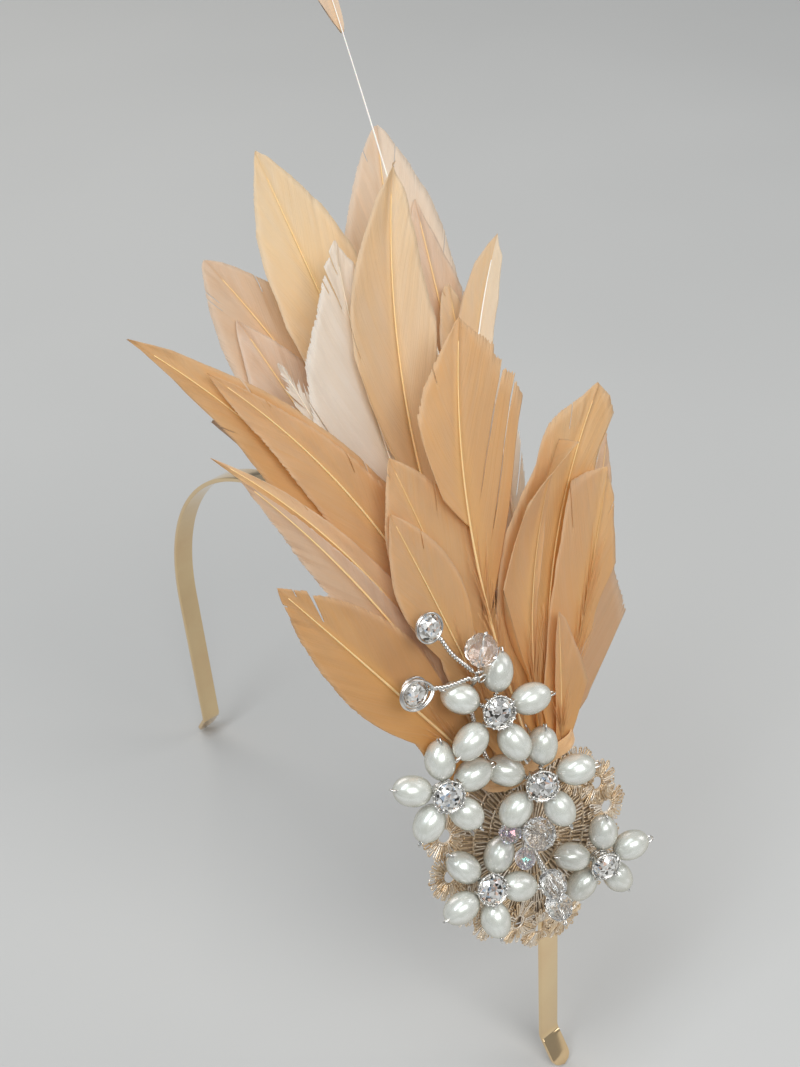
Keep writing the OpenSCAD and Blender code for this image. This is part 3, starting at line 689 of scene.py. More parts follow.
FAN = {
    "feather_shaded_back": dict(yaw=-4, reach=88, width=16, layer=0, shift=-4.6, sweep=-20, tone="shaded",
        left=((15, 3), (60, 3), (80, 2), (88, 0)),
        right=((15, 3), (60, 7), (78, 9.5), (84, 9.5), (87, 5), (88, 0)), down=10),
    "feather_pale_outer": dict(yaw=-4, reach=113, width=24, layer=1, shift=-1.2, sweep=-10, point=0.7,
        tone="pale", lean=(2, -2), splits=((1, 0.5, 1.0),), dark=(0.25, 0.25), down=10),
    "feather_pale_inner": dict(yaw=-9, reach=102, width=18, layer=2, shift=-2.4, sweep=-1, tone="pale",
        down=10),
    "feather_tall_back": dict(yaw=2.5, reach=123, width=27, layer=3, shift=1, sweep=17, tone="pale",
        lean=(-2, 2), dark=(0.05, -0.6), point=0.75, down=14),
    "feather_back_sliver": dict(yaw=9, reach=109, width=14, layer=4, shift=3, sweep=3, tone="pale", down=10),
    "feather_tall_left": dict(yaw=-3, reach=126, width=26, layer=5, shift=-1, sweep=3, tone="light",
        left=((20, 4), (60, 6.5), (87, 7.8), (97, 8.9), (107, 8), (113, 6.4), (121, 2.8), (126, 0)),
        right=((20, 4), (60, 8), (90, 10.5), (105, 9.7), (113, 7.9), (120, 4.4), (124, 1.9), (126, 0)),
        lean=(-1.5, 1.5), wave=0.25, down=20),
    "feather_small_round": dict(yaw=9.5, reach=93, width=12, layer=6, shift=1.9, sweep=3, point=0.6,
        tone="light", down=16),
    "feather_white_sliver": dict(yaw=12, reach=83, width=9, layer=7, shift=4.2, sweep=1, tone="ivory",
        ragged=0.12, splits=((1, 0.5, 1.2),), down=12),
    "feather_curled": dict(yaw=-1, reach=96, width=12, layer=8, shift=3, sweep=29, tone="curled", wave=0.2,
        left=((15, 3), (60, 4), (78, 5), (88, 4.5), (93, 3.5), (95, 1.5), (96, 0)),
        right=((15, 2), (60, 3), (85, 3), (92, 2), (96, 0)),
        lean=(-14, 22), twist=10, curl=2.5, dark=(0.3, -0.5), shaft=1.3, down=18),
    "feather_wisp": dict(yaw=-10.5, reach=95, width=11, layer=10, shift=-4, tone="ivory", ragged=0.5, rib=1.2,
        splits=((1, 0.4, 2.4), (-1, 0.5, 2.2), (1, 0.6, 2.2), (-1, 0.7, 2.0), (1, 0.8, 1.8)),
        down=30),
    "feather_ivory": dict(yaw=-9, reach=107, width=26, layer=11, shift=-2, sweep=15.5, tone="ivory",
        left=((30, 5), (60, 10), (83, 12.5), (93, 10.8), (99, 6.5), (104, 3.3), (107, 0)),
        right=((30, 5), (60, 7), (90, 6), (102, 3.5), (107, 0)),
        ragged=0.02, splits=((-1, 0.86, 1.2), (-1, 0.93, 0.8)), rib=0.8, shaft=0.6, down=24),
    "feather_tall_centre": dict(yaw=-8, reach=113.5, width=22, layer=12, shift=-0.8, sweep=29, tone="light",
        left=((60, 2), (66, 4), (74, 6), (81, 8), (89, 9.8), (96, 10), (101.5, 9.3),
            (106, 7.2), (110, 4.5), (113.5, 0)),
        right=((8, 3), (30, 5), (60, 7.5), (83, 8.2), (87, 8.8), (98, 6.5), (108, 3.1),
            (113.5, 0)),
        lean=(-5, 4), cup=(1.0, 0), dark=(0.25, -0.1), down=34, low=(58, 8)),
    "feather_right_pale": dict(yaw=30, reach=63, width=22, layer=13, shift=6, foot=0.2, tone="pale",
        ragged=0.02,
        rib=0.9, shaft=0.5, dark=(0.5, 0.5), left=((4, 4), (14, 5), (30, 8), (50, 4), (63, 0)),
        right=((4, 4), (14, 6.4), (22, 9.5), (29, 11.8), (37, 6.7), (46, 4.5), (55, 2.2), (63, 0)),
        down=24, low=2),
    "feather_sweep_upper": dict(yaw=-13, reach=115, width=22, layer=14, shift=-3.3, sweep=-18,
        left=((8, 4), (25, 6), (60, 8), (81, 6), (91, 4.2), (106, 1.7), (115, 0)),
        right=((8, 5), (25, 9), (47, 12), (61, 10), (76, 8.8), (91, 7), (103, 4), (109, 2.6), (115, 0)),
        lean=(2, 5), dark=(0.45, 0.3), splits=((1, 0.72, 0.6),), down=36, low=6),
    "feather_sweep_lower": dict(yaw=-8.5, reach=102.5, width=17, layer=15, shift=-4.6, sweep=-18,
        left=((5, 4), (40, 7), (60, 7), (80, 5.5), (95, 2.6), (102.5, 0)),
        right=((5, 4), (40, 7), (65, 6.5), (85, 4), (97, 1.5), (102.5, 0)),
        lean=(3, 2), splits=((-1, 0.4, 1.2),), ragged=0.03, dark=(0.1, 0.1), down=36, low=5),
    "feather_left_narrow": dict(yaw=-14, reach=93, width=8.5, layer=16, shift=-5.8, sweep=-15,
        left=((5, 3), (40, 4), (60, 3), (80, 1.6), (93, 0)),
        right=((5, 3), (40, 3.4), (60, 2.8), (80, 1.8), (93, 0)),
        ragged=0.02, lean=(-3, 4), dark=(0.0, -0.2), down=30, low=6),
    "feather_left_pink": dict(yaw=-17, reach=88, width=12, layer=17, shift=-6.9, sweep=-8, tone="pale",
        left=((5, 4), (30, 7), (50, 6.5), (70, 4), (80, 2), (88, 0)),
        right=((5, 3), (30, 4), (55, 2.6), (75, 1.4), (88, 0)),
        ragged=0.06, splits=((-1, 0.45, 0.9),), rib=0.9, dark=(0.45, 0.3), down=34, low=5),
    "feather_left_low": dict(yaw=-28, reach=71, width=16, layer=18, shift=-7.8, foot=0.22, widest=0.5,
        left_share=0.45, ragged=0.02, lean=(-2, 3), rib=0.8,
        dark=(0.55, 0.45), splits=((1, 0.8, 1.6),), down=40, low=3, base=0.75),
    "feather_inner_upper": dict(yaw=-9, reach=75, width=17, layer=19, shift=-2.6, foot=0.4, lean=(0, 3),
        down=44, low=4, base=0.6, shaft=0.6),
    "feather_inner_lower": dict(yaw=-12, reach=67, width=13, layer=20, shift=-4.1, foot=0.4, lean=(-2, 3),
        down=44, low=3, base=0.7, shaft=0.7),
    "feather_front_diamond": dict(yaw=-8, reach=90, width=26, layer=21, shift=-0.2, sweep=18.5, foot=0.8,
        left=((58, 3), (69, 7), (76, 9.3), (79.6, 9.9), (83.4, 8.1), (86.4, 4.7), (90, 0)),
        right=((38, 4), (50, 8), (60, 13), (66, 15.8), (70, 16.4), (74.7, 13.9), (80.7, 8.7),
            (82.3, 8.7), (88, 2.1), (90, 0)),
        splits=((1, 0.30, 1.6), (1, 0.12, 1.0)), ragged=0.02,
        lean=(2, -1), dark=(0.0, 0.04), down=70, low=(56, 38)),
    "feather_right_back": dict(yaw=7, reach=72, width=22, layer=22, shift=3, sweep=19, foot=0.3,
        left=((3, 5), (20, 9), (36, 12.5), (50, 12.5), (58, 10.5), (62, 9.6), (66.3, 9.9), (68.2, 9.4),
            (69.4, 7.5), (70.4, 3.5), (72, 0)),
        right=((3, 4), (20, 5), (45, 6), (60.6, 5.6), (65.4, 7.3), (69, 4.3), (71, 1.5), (72, 0)),
        lean=(-4, 4), wave=0.4, shaft=0.7, down=44, low=3),
    "feather_right_left_half": dict(yaw=1, reach=64.5, width=12, layer=23, shift=1.4, sweep=16, foot=0.3,
        left=((3, 0.8), (15, 1.2), (24, 2.6), (37, 6.6), (43, 8.3), (51, 7.5), (57, 7),
            (60, 5), (62.5, 2.5), (64.5, 0)),
        right=((3, 0.8), (45, 1.5), (60, 1), (64.5, 0)),
        lean=(-20, 5), cup=(5.5, 0), wave=0.3, shaft=0.3, down=50, low=3),
    "feather_right_right_half": dict(yaw=22, reach=59, width=18, layer=24, shift=4, sweep=1, foot=0.6,
        shaft=0.25,
        left=((2, 5), (20, 7.4), (30, 8.5), (42, 9.4), (52, 9.2), (57, 8.6), (58.4, 5), (59, 0)),
        right=((18, 3), (31, 3.5), (36, 5), (40, 6.5), (48, 3.9), (53.6, 2.7), (59, 0)),
        lean=(2, -4), down=44, low=(2, 22)),
    "feather_right_small": dict(yaw=5, reach=34.5, width=12, layer=28, shift=5, foot=0.2,
        left=((0, 1.5), (20, 1.2), (30, 0.9), (34.5, 0)),
        right=((0, 9), (8.7, 8.8), (13.4, 8), (22, 5.4), (32, 1.9), (34.5, 0)),
        lean=(6, -4), shaft=0.4, down=24, low=0),
}
for number, (node, look) in enumerate(FAN.items()):
    Feather(seed=number + 1, **look).build(node)
ARROW = Feather(yaw=6, reach=160, width=5.5, layer=9, shift=0.6, sweep=3.5, foot=0.875, widest=0.3,
                left_share=0.8, point=1, tone="cream", low=999, wave=0.2, ragged=0.02, down=0, seed=40)
ARROW.build("arrow_feather", "arrow")

# ---- headband and base ----

def band_path():
    """Middle line of the strip in the Y-Z plane, from the right tip over the crown to the left tip."""
    radius = BAND_INNER + BAND_THICK / 2
    bend = LIP_LENGTH * math.cos(LIP_ANGLE)
    right = []
    for d in np.linspace(LIP_LENGTH, 1.2, 14):
        right.append((-radius - d * math.sin(LIP_ANGLE), bend - d * math.cos(LIP_ANGLE)))
    for k in np.linspace(0, 1, 6):
        a = LIP_ANGLE * (1 - k)
        right.append((-radius - 1.0 * (1 - k) ** 2 * math.sin(LIP_ANGLE), bend - 1.0 + 2.0 * k))
    for z in np.linspace(bend + 2, ARC_HEIGHT, 24)[:-1]:
        right.append((-radius, z))
    arc = [(-radius * math.cos(a), ARC_HEIGHT + radius * math.sin(a)) for a in np.linspace(0, math.pi, 181)]
    left = [(-y, z) for y, z in right[::-1]]
    return np.array(right + arc + left) - (0, ARC_HEIGHT)


def build_band():
    """Strip with rounded edges and half-round ends."""
    path = band_path()
    n = len(path)
    tangent = np.gradient(path, axis=0)
    tangent /= np.linalg.norm(tangent, axis=1, keepdims=True)
    out = np.stack([-tangent[:, 1], tangent[:, 0]], -1)
    length = np.concatenate([[0], np.cumsum(np.linalg.norm(np.diff(path, axis=0), axis=1))])
    end = np.minimum(length, length[-1] - length)
    r = BAND_WIDTH / 2
    half = np.where(end < r, np.sqrt(np.maximum(r * r - (r - end) ** 2, 0.02)), r)
    section = []
    edge = 0.22
    for cx, cy, start in ((1, 1, 0), (-1, 1, 90), (-1, -1, 180), (1, -1, 270)):
        for a in np.radians(np.linspace(start, start + 90, 5)):
            rise = cy * (BAND_THICK / 2 - edge) + edge * math.sin(a)
            section.append((cx, edge * (math.cos(a) - cx), rise))
    verts = []
    for i in range(n):
        for cx, dx, w in section:
            x = cx * half[i] + dx
            verts.append((x, path[i][0] + out[i][0] * w, path[i][1] + out[i][1] * w))
    k = len(section)
    faces = [(i * k + j, i * k + (j + 1) % k, (i + 1) * k + (j + 1) % k, (i + 1) * k + j)
             for i in range(n - 1) for j in range(k)]
    faces += [tuple(range(k))[::-1], tuple((n - 1) * k + j for j in range(k))]
    shape = Shape()
    shape.add(verts, faces)
    shape.build("headband_strip", [GOLD], "root", ["headband"], "gold_band")


def stitches():
    """Blanket stitches that hold the felt pads to the base."""
    shape = Shape()
    for a in np.arange(0, TAU, TAU / 44):
        c = np.array([-3, -1])
        outer = c + np.array([15.3 * math.cos(a), 17.3 * math.sin(a)])
        inner = c + np.array([13.6 * math.cos(a + 0.03), 15.4 * math.sin(a + 0.03)])
        if abs(outer[0]) < 4.2:
            continue
        pts = [on_shell(*(outer + (outer - c) * 0.02), BAND_INNER + 0.9), on_shell(*outer, BAND_INNER + 0.3),
               on_shell(*inner, BAND_INNER + 0.28), on_shell(*inner, BAND_INNER + 0.6)]
        tube(shape, world(smooth_path(np.array(pts), 4)), 0.16, 6)
    shape.build("felt_stitches", [THREAD], "root", (), "thread")


build_band()
stitches()
for node, cloth in (("backing_felt", FELT), ("base_plate", BUCKRAM_PAINTED_SHADE)):
    obj = frame["nodes"][node]
    obj.data.materials.clear()
    obj.data.materials.append(cloth)

# ---- pearl flowers ----

FLOWERS = {
    "top": ((-12, 39, 17.5), -15, 12, 25, 7.0, "top_flower"),
    "middle": ((-6.6, 20, 16.5), -28, 5, 19, 7.0, "root"),
    "left": ((-23.9, 26.8, 12.3), -15, 5, 11, 6.2, "root"),
    "lower": ((-19.4, 1.3, 9), -10, 15, -27, 6.4, "root"),
    "right": ((7, -10, 9), -22, -8, 14, 6.6, "root"),
}
STEMS = {
    "top": [(-12, 39, 16.1), (-11.2, 37.4, 13.6), (-2, 20.5, 11.1)],
    "middle": [(-6.6, 20, 15.1), (-4.8, 13.5, 9.0), (-3, 7, 2.2)],
    "left": [(-23.9, 26.8, 10.9), (-22.8, 26, 8.6), (-15.5, 8.5, 2.4)],
    "lower": [(-19.4, 1.3, 7.6), (-16.9, -1.2, 5.4), (-14, -4, 2.8)],
    "right": [(7, -10, 7.6), (6.2, -9.2, 5.4), (5, -8, 2.6)],
}
PETAL_DROP, PEARL_HALF, PEARL_RADIUS = -0.6, 3.8, 2.9
PETAL_COUNT, COIL_RADIUS = 5, 0.38


def flower_place(at, forward, up, spin):
    turn = turn_y(forward) @ turn_x(-up) @ turn_z(-spin)
    return lambda p: world(np.asarray(at) + np.asarray(p, float) @ turn.T)


def directions(place, centre, long, side, up):
    """Rows of local axes in the row frame: across, up, long."""
    o = place(centre)
    return np.stack([(place(np.asarray(centre) + d) - o) for d in (side, up, long)])


def brilliant(shape, place, radius, girdle_z, crown, pavilion, table=0.58):
    """Round stone: table, star, kite and girdle facets over a pointed pavilion."""
    def ring(r, z, n, off):
        turns = [TAU * (k + off) / n for k in range(n)]
        return [(r * math.cos(a), r * math.sin(a), z) for a in turns]

    top = ring(radius * table, girdle_z + crown, 8, 0)
    mid = ring(radius * 0.82, girdle_z + crown * 0.52, 8, 0.5)
    rim = ring(radius, girdle_z, 16, 0)
    low = ring(radius, girdle_z - 0.18, 16, 0)
    culet = [(0, 0, girdle_z - 0.18 - pavilion)]
    verts = top + mid + rim + low + culet
    faces = []
    for k in range(8):
        a, b = k, (k + 1) % 8
        m, m0 = 8 + k, 8 + (k - 1) % 8
        r0, r1, r2 = 16 + 2 * k, 16 + (2 * k + 1) % 16, 16 + (2 * k + 2) % 16
        faces += [(a, m, b), (a, m0, r0, m), (m, r0, r1), (m, r1, r2)]
    centre = len(verts)
    verts.append((0, 0, girdle_z + crown))
    for k in range(8):
        faces.append((k, (k + 1) % 8, centre))
    for k in range(16):
        j = (k + 1) % 16
        faces += [(16 + k, 32 + k, 32 + j, 16 + j), (32 + k, 48, 32 + j)]
    shape.add(place(np.array(verts)), faces)


def claw_cup(shape, place, radius, bottom, rim, claws=4):
    """Bowl with a milled rim and claws bent over the stone."""
    n = 40
    profile = [(0.4, bottom), (1.5, bottom), (radius + 0.28, rim - 0.75), (radius + 0.36, rim - 0.45),
               (radius + 0.3, rim), (radius + 0.08, rim), (radius + 0.05, rim - 0.5), (1.2, bottom + 0.45),
               (0.4, bottom + 0.4)]
    verts, faces, k = [], [], len(profile)
    for i in range(n):
        a = TAU * i / n
        for r, z in profile:
            verts.append((r * math.cos(a), r * math.sin(a), z))
    for i in range(n):
        j = (i + 1) % n
        for m in range(k):
            faces.append((i * k + m, j * k + m, j * k + (m + 1) % k, i * k + (m + 1) % k))
    shape.add(place(np.array(verts)), faces)
    for i in range(20):
        a = TAU * i / 20
        bead = (math.cos(a) * (radius + 0.28), math.sin(a) * (radius + 0.28), rim)
        ellipsoid(shape, place(bead), np.eye(3), (0.24, 0.24, 0.24), 5, 8)
    for i in range(claws):
        a = math.radians(45 + 360 / claws * i)
        c, s = math.cos(a), math.sin(a)
        pts = [(radius + 0.42, bottom + 0.8), (radius + 0.46, rim + 0.15), (radius + 0.3, rim + 0.55),
               (radius - 0.1, rim + 0.78), (radius - 0.5, rim + 0.82)]
        path = smooth_path([(r * c, r * s, z) for r, z in pts], 5)
        tube(shape, place(path), np.linspace(0.36, 0.24, len(path)), 8)


def build_flower(name, at, forward, up, spin, ring, body, cups, stones):
    place = flower_place(at, forward, up, spin)
    rng = np.random.default_rng(sum(map(ord, name)))
    pearls, wires = Shape(), Shape()
    for i in range(PETAL_COUNT):
        a = TAU * i / PETAL_COUNT
        d = np.array([math.sin(a), math.cos(a), 0])
        side = np.array([d[1], -d[0], 0])
        centre = d * ring + (0, 0, PETAL_DROP)
        tilt = rng.normal(0, 0.035, 2)
        long = d + side * tilt[0] + np.array([0, 0, tilt[1]])
        long /= np.linalg.norm(long)
        across = np.cross([0, 0, 1], long)
        across /= np.linalg.norm(across)
        axes = directions(place, centre, long, across, np.cross(long, across))
        w = rng.normal(0, 1, (3, 3))
        soft = lambda v: 0.012 * np.sin(2.1 * v @ w[0]) + 0.008 * np.sin(3.7 * v @ w[1] + 1)
        radii = (PEARL_RADIUS * rng.uniform(0.975, 1.0), PEARL_RADIUS * rng.uniform(0.965, 1.0),
                 PEARL_HALF * rng.uniform(0.975, 1.0))
        ellipsoid(pearls, place(centre), axes, radii, 30, 44, bumps=soft, bead=rng.uniform(0, 50))
        tip = ring + PEARL_HALF
        inner = ring - PEARL_HALF - 0.1
        hook = [(0.9, 0, -0.7), (inner, 0, PETAL_DROP), (ring, 0, PETAL_DROP), (tip + 0.1, 0, PETAL_DROP),
                (tip + 0.55, 0.1, -0.35), (tip + 0.62, 0.2, 0.2), (tip + 0.2, 0.25, 0.5),
                (tip - 0.5, 0.3, 0.55)]
        hook = [d * out + side * aside + (0, 0, z) for out, aside, z in hook]
        tube(wires, place(smooth_path(hook, 6)), 0.2, 8)
        turns = np.linspace(0, 3.2 * TAU, 44)
        along = np.linspace(1.4, max(inner, 2.0), 44)
        coil = (d[None] * along[:, None] + side[None] * COIL_RADIUS * np.cos(turns)[:, None]
                + np.array([0, 0, 1])[None] * (COIL_RADIUS * np.sin(turns)[:, None] + PETAL_DROP))
        tube(wires, place(coil), 0.17, 6)
    turns = np.linspace(0, 6.4 * TAU, 220)
    rise = np.linspace(-2.1, -0.2, 220)
    radius = 1.35 + 0.25 * np.sin(turns * 0.37) + 0.12 * np.sin(turns * 2.3)
    tube(wires, place(np.stack([radius * np.cos(turns), radius * np.sin(turns), rise], -1)), 0.24, 7)
    twisted(wires, world(np.array(STEMS[name])), 0.27, 1.7)
    claw_cup(cups, place, 2.7, -0.1, 2.0)
    brilliant(stones, place, 2.66, 1.9, 1.0, 1.0)
    pearls.build(name + "_flower_nacre", [PEARL], body, [name + "_flower_pearls"], "pearl")
    wires.build(name + "_flower_twist", [SILVER], body, [name + "_flower_wire"], "silver")


cups, stones = Shape(), Shape()
for name, (at, forward, up, spin, ring, body) in FLOWERS.items():
    own = name == "top"
    c, s = (Shape(), Shape()) if own else (cups, stones)
    build_flower(name, at, forward, up, spin, ring, body, c, s)
    if own:
        c.build("top_flower_claws", [SILVER], body, ["top_flower_cup"], "silver")
        s.build("top_flower_brilliant", [STONE], body, ["top_flower_stone"], "clear_glass", False, True, 5)
cups.build("flower_claws", [SILVER], "root", ["flower_cups"], "silver")
stones.build("flower_brilliants", [STONE], "root", ["flower_stones"], "clear_glass", False, True, 9)

# ---- crystals ----

CRYSTAL_FOOT = np.array([-5, 4, 3.2])
FORK = np.array([-13, 46.5, 16.5])
CRYSTALS = {
    "round_crystal": ((-8.2, 8.2, 13.5), CRYSTAL_FOOT, 6.6, 6.6, CLEAR, "clear_glass", 10),
    "violet_crystal": ((-12.8, 10.6, 11.2), CRYSTAL_FOOT, 4.4, 4.4, VIOLET, "violet_glass", 8),
    "long_crystal": ((-13.9, 7.1, 15.5), CRYSTAL_FOOT, 4.0, 5.5, PINKISH, "blush_glass", 8),
    "upper_clear_crystal": ((-7.2, -5, 11.5), CRYSTAL_FOOT, 5.6, 5.6, CLEAR, "clear_glass", 10),
    "lower_clear_crystal": ((-6.4, -11.5, 10), CRYSTAL_FOOT, 5.6, 5.6, CLEAR, "clear_glass", 10),
    "sprig_crystal": ((-12.1, 51.9, 18.9), FORK, 6.2, 5.6, BLUSH, "blush_glass", 10),
}


def axis_frame(run):
    run = run / np.linalg.norm(run)
    side = np.cross(run, [0.3, 0.2, 0.9])
    side /= np.linalg.norm(side)
    return np.stack([side, np.cross(run, side), run])


def cut_bead(shape, place, width, length, n):
    """Bead with staggered rows of flat facets."""
    levels = [(0.13, -0.5), (0.31, -0.42), (0.455, -0.2), (0.5, 0.0), (0.455, 0.2), (0.31, 0.42), (0.13, 0.5)]
    verts, faces = [], []
    for j, (r, z) in enumerate(levels):
        for k in range(n):
            a = TAU * (k + 0.5 * (j % 2)) / n
            verts.append((r * width * math.cos(a), r * width * math.sin(a), z * length))
    for j in range(len(levels) - 1):
        for k in range(n):
            m = (k + 1) % n
            a, b, c, d = j * n + k, j * n + m, (j + 1) * n + k, (j + 1) * n + m
            faces += [(a, b, c), (b, d, c)] if j % 2 == 0 else [(a, b, d), (a, d, c)]
    faces += [tuple(range(n))[::-1], tuple((len(levels) - 1) * n + k for k in range(n))]
    shape.add(place(np.array(verts)), faces)


crystal_wires = Shape()
for seed, (node, (at, foot, width, length, glass, slot, sides)) in enumerate(CRYSTALS.items()):
    at = np.asarray(at, float)
    axes = axis_frame(at - foot)
    bead = Shape()
    cut_bead(bead, lambda p: world(at + p @ axes), width, length, sides)
    bead.build(node + "_cut", [glass], node, [node], slot, False, True, seed + 20)
    run = axes[2]
    knot = at + run * (length / 2 + 0.45)
    loop = [foot + (at - foot) * 0.02, at, knot, knot + run * 0.5 + axes[0] * 0.35,
            knot + run * 0.25 + axes[0] * 0.8, knot - run * 0.15 + axes[0] * 0.45]
    target = crystal_wires
    if node == "sprig_crystal":
        sprig = Shape()
        target = sprig
    tube(target, world(smooth_path(np.array(loop), 8)), 0.2, 8)
    if node != "sprig_crystal":
        below = at - run * (length / 2 + 0.1)
        twisted(target, world(np.array([foot, (foot + below) / 2, below])), 0.22, 1.4)
turns = np.linspace(0, 5 * TAU, 160)
knot = np.stack([1.1 * np.cos(turns), 1.1 * np.sin(turns), np.linspace(-0.8, 0.9, 160)], -1)
tube(crystal_wires, world(CRYSTAL_FOOT + knot), 0.24, 6)
crystal_wires.build("crystal_twists", [SILVER], "root", ["crystal_wires"], "silver")

# ---- sprig ----

UPPER_DROP = np.array([-18.7, 59.1, 15.5])
SIDE_DROP = np.array([-24.8, 49.4, 14.6])
twisted(sprig, world(np.array([(-7.3, 16, 7.8), (-11.6, 26, 8.8), (-12.5, 40, 10.6), FORK])), 0.3, 1.5)
for k, (off, r) in enumerate((((0.5, -0.6, 0.6), 0.85), ((-0.9, 0.1, 0.5), 0.7), ((0.1, 0.9, 0.7), 0.75))):
    a = np.linspace(0, TAU, 25)[:-1]
    ring = np.stack([r * np.cos(a), 0.8 * r * np.sin(a), 0.3 * np.sin(a + k)], -1) @ turn_x(35 * k).T
    tube(sprig, world(FORK + np.array(off) + ring), 0.2, 7, closed=True)
sprig.build("sprig_twist", [SILVER], "root", ["sprig_stem"], "silver")


def build_drop(name, at, leaf):
    """Round stone in two wire rings, on a twisted arm from the fork; a leaf has a pointed loop round it."""
    wires, stone = Shape(), Shape()
    run = (at - FORK) / np.linalg.norm(at - FORK)
    side = np.cross([0, 0, 1], run)
    arm = [FORK + run * 1.4, (FORK + at) / 2 + side * 0.5, at - run * 2.8]
    twisted(wires, world(np.array(arm)), 0.25, 1.4)
    a = np.linspace(0, TAU, 49)[:-1]
    circle = np.stack([np.cos(a), np.sin(a), 0 * a], -1)
    tube(wires, world(at + circle * 2.65), 0.22, 8, closed=True)
    tube(wires, world(at + circle * 2.6 + (0, 0, -0.4)), 0.2, 8, closed=True)
    if leaf:
        t = np.linspace(0, TAU, 61)[:-1]
        length = -2.9 + 6.6 * (0.5 - 0.5 * np.cos(t))
        wide = 3.0 * np.sin(t) * (0.55 + 0.45 * np.sin(t / 2))
        rise = np.array([0, 0, 1]) * (0.6 + 0.9 * np.sin(t / 2))[:, None]
        loop = at + run * length[:, None] + side * wide[:, None] + rise
        tube(wires, world(loop), 0.26, 8, closed=True)
        tube(wires, world(loop + (0, 0, 0.42)), 0.2, 8, closed=True)
    brilliant(stone, lambda p: world(at + p), 2.4, 0.15, 1.0, 1.4)
    wires.build(name + "_loop", [SILVER], name, [name + "_wire"], "silver")
    stone.build(name + "_brilliant", [STONE], name, [name + "_stone"], "clear_glass", False, True, 31)


build_drop("upper_drop", UPPER_DROP, False)
build_drop("side_drop", SIDE_DROP, True)

# ---- binding of the quills ----

binding = Shape()
rng = np.random.default_rng(77)
for row in range(10):
    y = 17.55 + 0.31 * row
    pts = []
    for a in np.linspace(0, TAU, 73)[:-1]:
        c, s = math.cos(a), math.sin(a)
        run = 5.9 if c > 0 else -5.9
        r = 4.85 + 0.08 * math.sin(5 * a + row)
        pts.append((-0.9 + run + r * c, y + 0.08 * math.sin(a + row), 5.3 + r * s))
    tube(binding, world(np.array(pts)), 0.19, 7, closed=True)
binding.build("quill_winding", [THREAD], "root", ["quill_binding"], "thread")

# ---- lace ----

SCALLOPS = [(11.8, 6.2), (15.4, 1.2), (16.2, -5), (13.5, -13), (8.5, -19.8), (1.8, -25.6), (-5, -22.8),
            (-10.5, -17), (-16.6, -11), (-20.8, -4.2), (-23, 3.6), (-21, 11.4)]


def loops(shape, centre, inner, outer, count, radius, rng, squash=1.0, thick=0.16, stray=0.6):
    """U-shaped threads that run out from the eye and back, all the way round."""
    for k in range(count):
        a = TAU * (k + rng.uniform(-0.2, 0.2)) / count
        half = TAU / count * 0.30
        out = outer * rng.uniform(0.93, 1.05)
        leg = [(inner, 1.6), ((inner + out) / 2, 1.2), (out, 1.0), (out + 0.3, 0.4)]
        polar = [(r, a - half * w) for r, w in leg] + [(r, a + half * w) for r, w in leg[::-1]]
        lift, tip = rng.uniform(0, stray), rng.uniform(-0.3, 0.5) * stray
        pts = [on_shell(centre[0] + r * math.sin(b), centre[1] + squash * r * math.cos(b),
                        radius + lift + tip * (r - inner) / (out - inner)) for r, b in polar]
        tube(shape, world(smooth_path(np.array(pts), 3)), thick, 5, strand=rng.random())


def cord(shape, centre, r, radius, thick, rng, squash=1.0, wobble=0.0, n=64):
    a = np.linspace(0, TAU, n + 1)[:-1]
    rr = r * (1 + wobble * np.sin(9 * a))
    pts = on_shell(centre[0] + rr * np.sin(a), centre[1] + squash * rr * np.cos(a), radius)
    tube(shape, world(pts), thick, 6, closed=True, strand=rng.random())


rng = np.random.default_rng(12)
scallops = Shape()
for c in SCALLOPS:
    loops(scallops, c, 1.9, 4.5, 32, BASE_TOP + 0.75, rng)
    loops(scallops, c, 1.5, 3.2, 22, BASE_TOP + 0.95, rng, stray=0.4)
    cord(scallops, c, 1.45, BASE_TOP + 1.05, 0.22, rng)
    cord(scallops, c, 3.0, BASE_TOP + 0.85, 0.14, rng, wobble=0.04)
scallops.build("lace_scallop_loops", [LACE], "root", ["lace_scallops"], "lace")

ground = Shape()
middle = (-3, -1)
for r, count in ((17.2, 96), (13.9, 78), (10.6, 58), (7.3, 40), (4.1, 22)):
    loops(ground, middle, r - 3.4, r - 0.3, count, BASE_TOP + 0.25, rng, squash=1.1, stray=0.5)
    cord(ground, middle, r - 3.3, BASE_TOP + 0.42, 0.2, rng, squash=1.1, wobble=0.01, n=96)
cord(ground, middle, 17.6, BASE_TOP + 0.35, 0.28, rng, squash=1.1, n=120)
ground.build("lace_ground_loops", [LACE], "root", ["lace_base"], "lace")

# ---- stage, light and camera ----

m, nt, p = new_material("floor_paper")
cloud = noise(nt, coords(nt), 3, 3)
settle(p, mix_colour(nt, spread(nt, cloud, 0.3, 0.7), (0.52, 0.525, 0.52), (0.56, 0.565, 0.56)), 0.8)
FLOOR_LEVEL, FLOOR_RADIUS = -0.0514, 5
bpy.ops.mesh.primitive_circle_add(vertices=96, radius=FLOOR_RADIUS, fill_type="NGON",
                                  location=(0, 0, FLOOR_LEVEL))
floor = bpy.context.object
floor.name = "floor"
floor.data.materials.append(m)

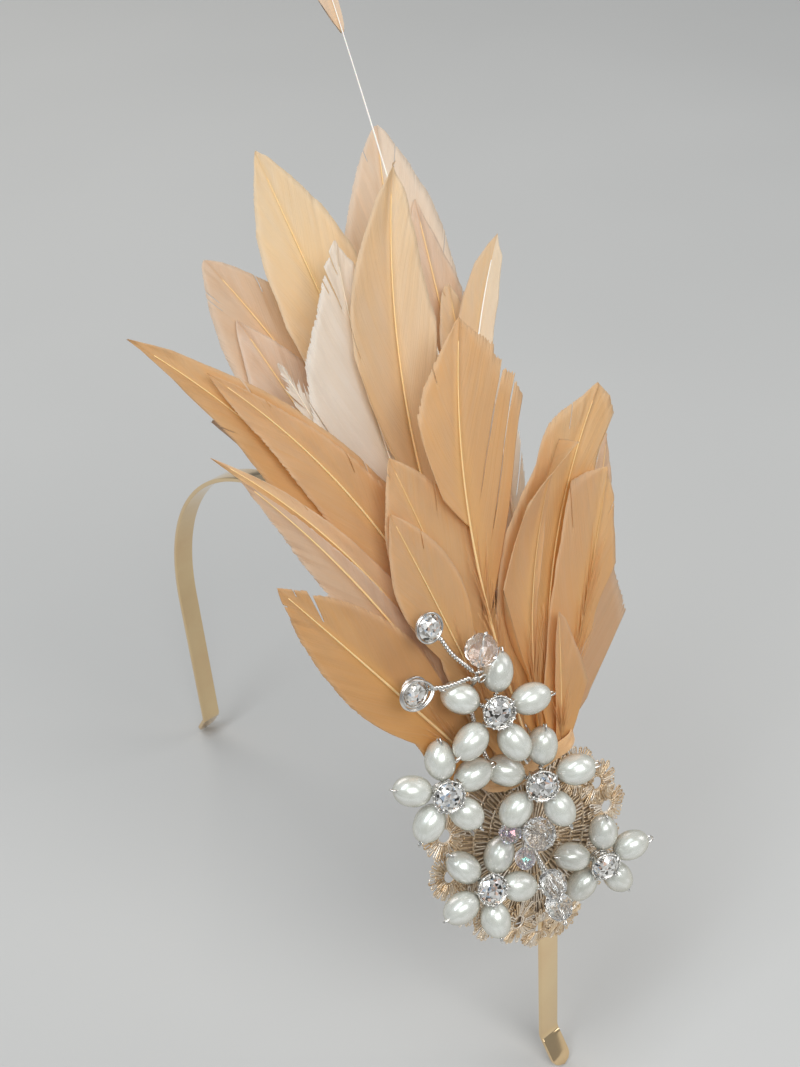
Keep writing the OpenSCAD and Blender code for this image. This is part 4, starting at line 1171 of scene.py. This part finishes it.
sky = bpy.data.worlds.new("studio")
bpy.context.scene.world = sky
sky.use_nodes = True
back = sky.node_tree.nodes["Background"]
back.inputs["Color"].default_value = (0.80, 0.83, 0.87, 1)
back.inputs["Strength"].default_value = 0.34


def area(name, at, aim, size, watts, colour):
    data = bpy.data.lights.new(name, "AREA")
    data.shape, data.energy, data.color = "RECTANGLE", watts, colour
    data.size, data.size_y = size
    obj = bpy.data.objects.new(name, data)
    obj.location = at
    obj.rotation_euler = (Vector(aim) - Vector(at)).to_track_quat("-Z", "Y").to_euler()
    bpy.context.scene.collection.objects.link(obj)


CENTRE = (0, -0.07, 0.09)
area("key_window", (-0.15, -0.75, 0.80), CENTRE, (0.7, 0.45), 5.5, (1.0, 0.97, 0.93))
area("ceiling_panel", (-0.35, -0.1, 0.95), CENTRE, (0.25, 0.8), 4.2, (0.93, 0.97, 1.0))
area("right_panel", (0.75, -0.45, 0.65), CENTRE, (0.4, 0.6), 1.6, (1.0, 0.98, 0.95))
area("back_glow", (0.1, 0.8, 0.55), CENTRE, (0.8, 0.5), 2.6, (1.0, 0.96, 0.90))

AZIMUTH, ELEVATION, ROLL = math.radians(-37), math.radians(39), math.radians(4.5)
DISTANCE, FIELD = 0.330, math.radians(28.35)
level = math.cos(ELEVATION)
back_dir = Vector((math.sin(AZIMUTH) * level, -math.cos(AZIMUTH) * level, math.sin(ELEVATION)))
right = Vector((math.cos(AZIMUTH), math.sin(AZIMUTH), 0))
up = back_dir.cross(right)
right, up = right * math.cos(ROLL) - up * math.sin(ROLL), up * math.cos(ROLL) + right * math.sin(ROLL)
aim = Vector((0.0125, -0.0096, 0.0589))
camera = bpy.data.cameras.new("photo_view")
camera.sensor_fit = "HORIZONTAL"
camera.angle = FIELD
camera.clip_start = 0.01
eye = bpy.data.objects.new("photo_view", camera)
eye.matrix_world = Matrix((right, up, back_dir)).transposed().to_4x4()
eye.location = aim + back_dir * DISTANCE
bpy.context.scene.collection.objects.link(eye)
bpy.context.scene.camera = eye
bpy.context.scene.view_settings.view_transform = "Standard"
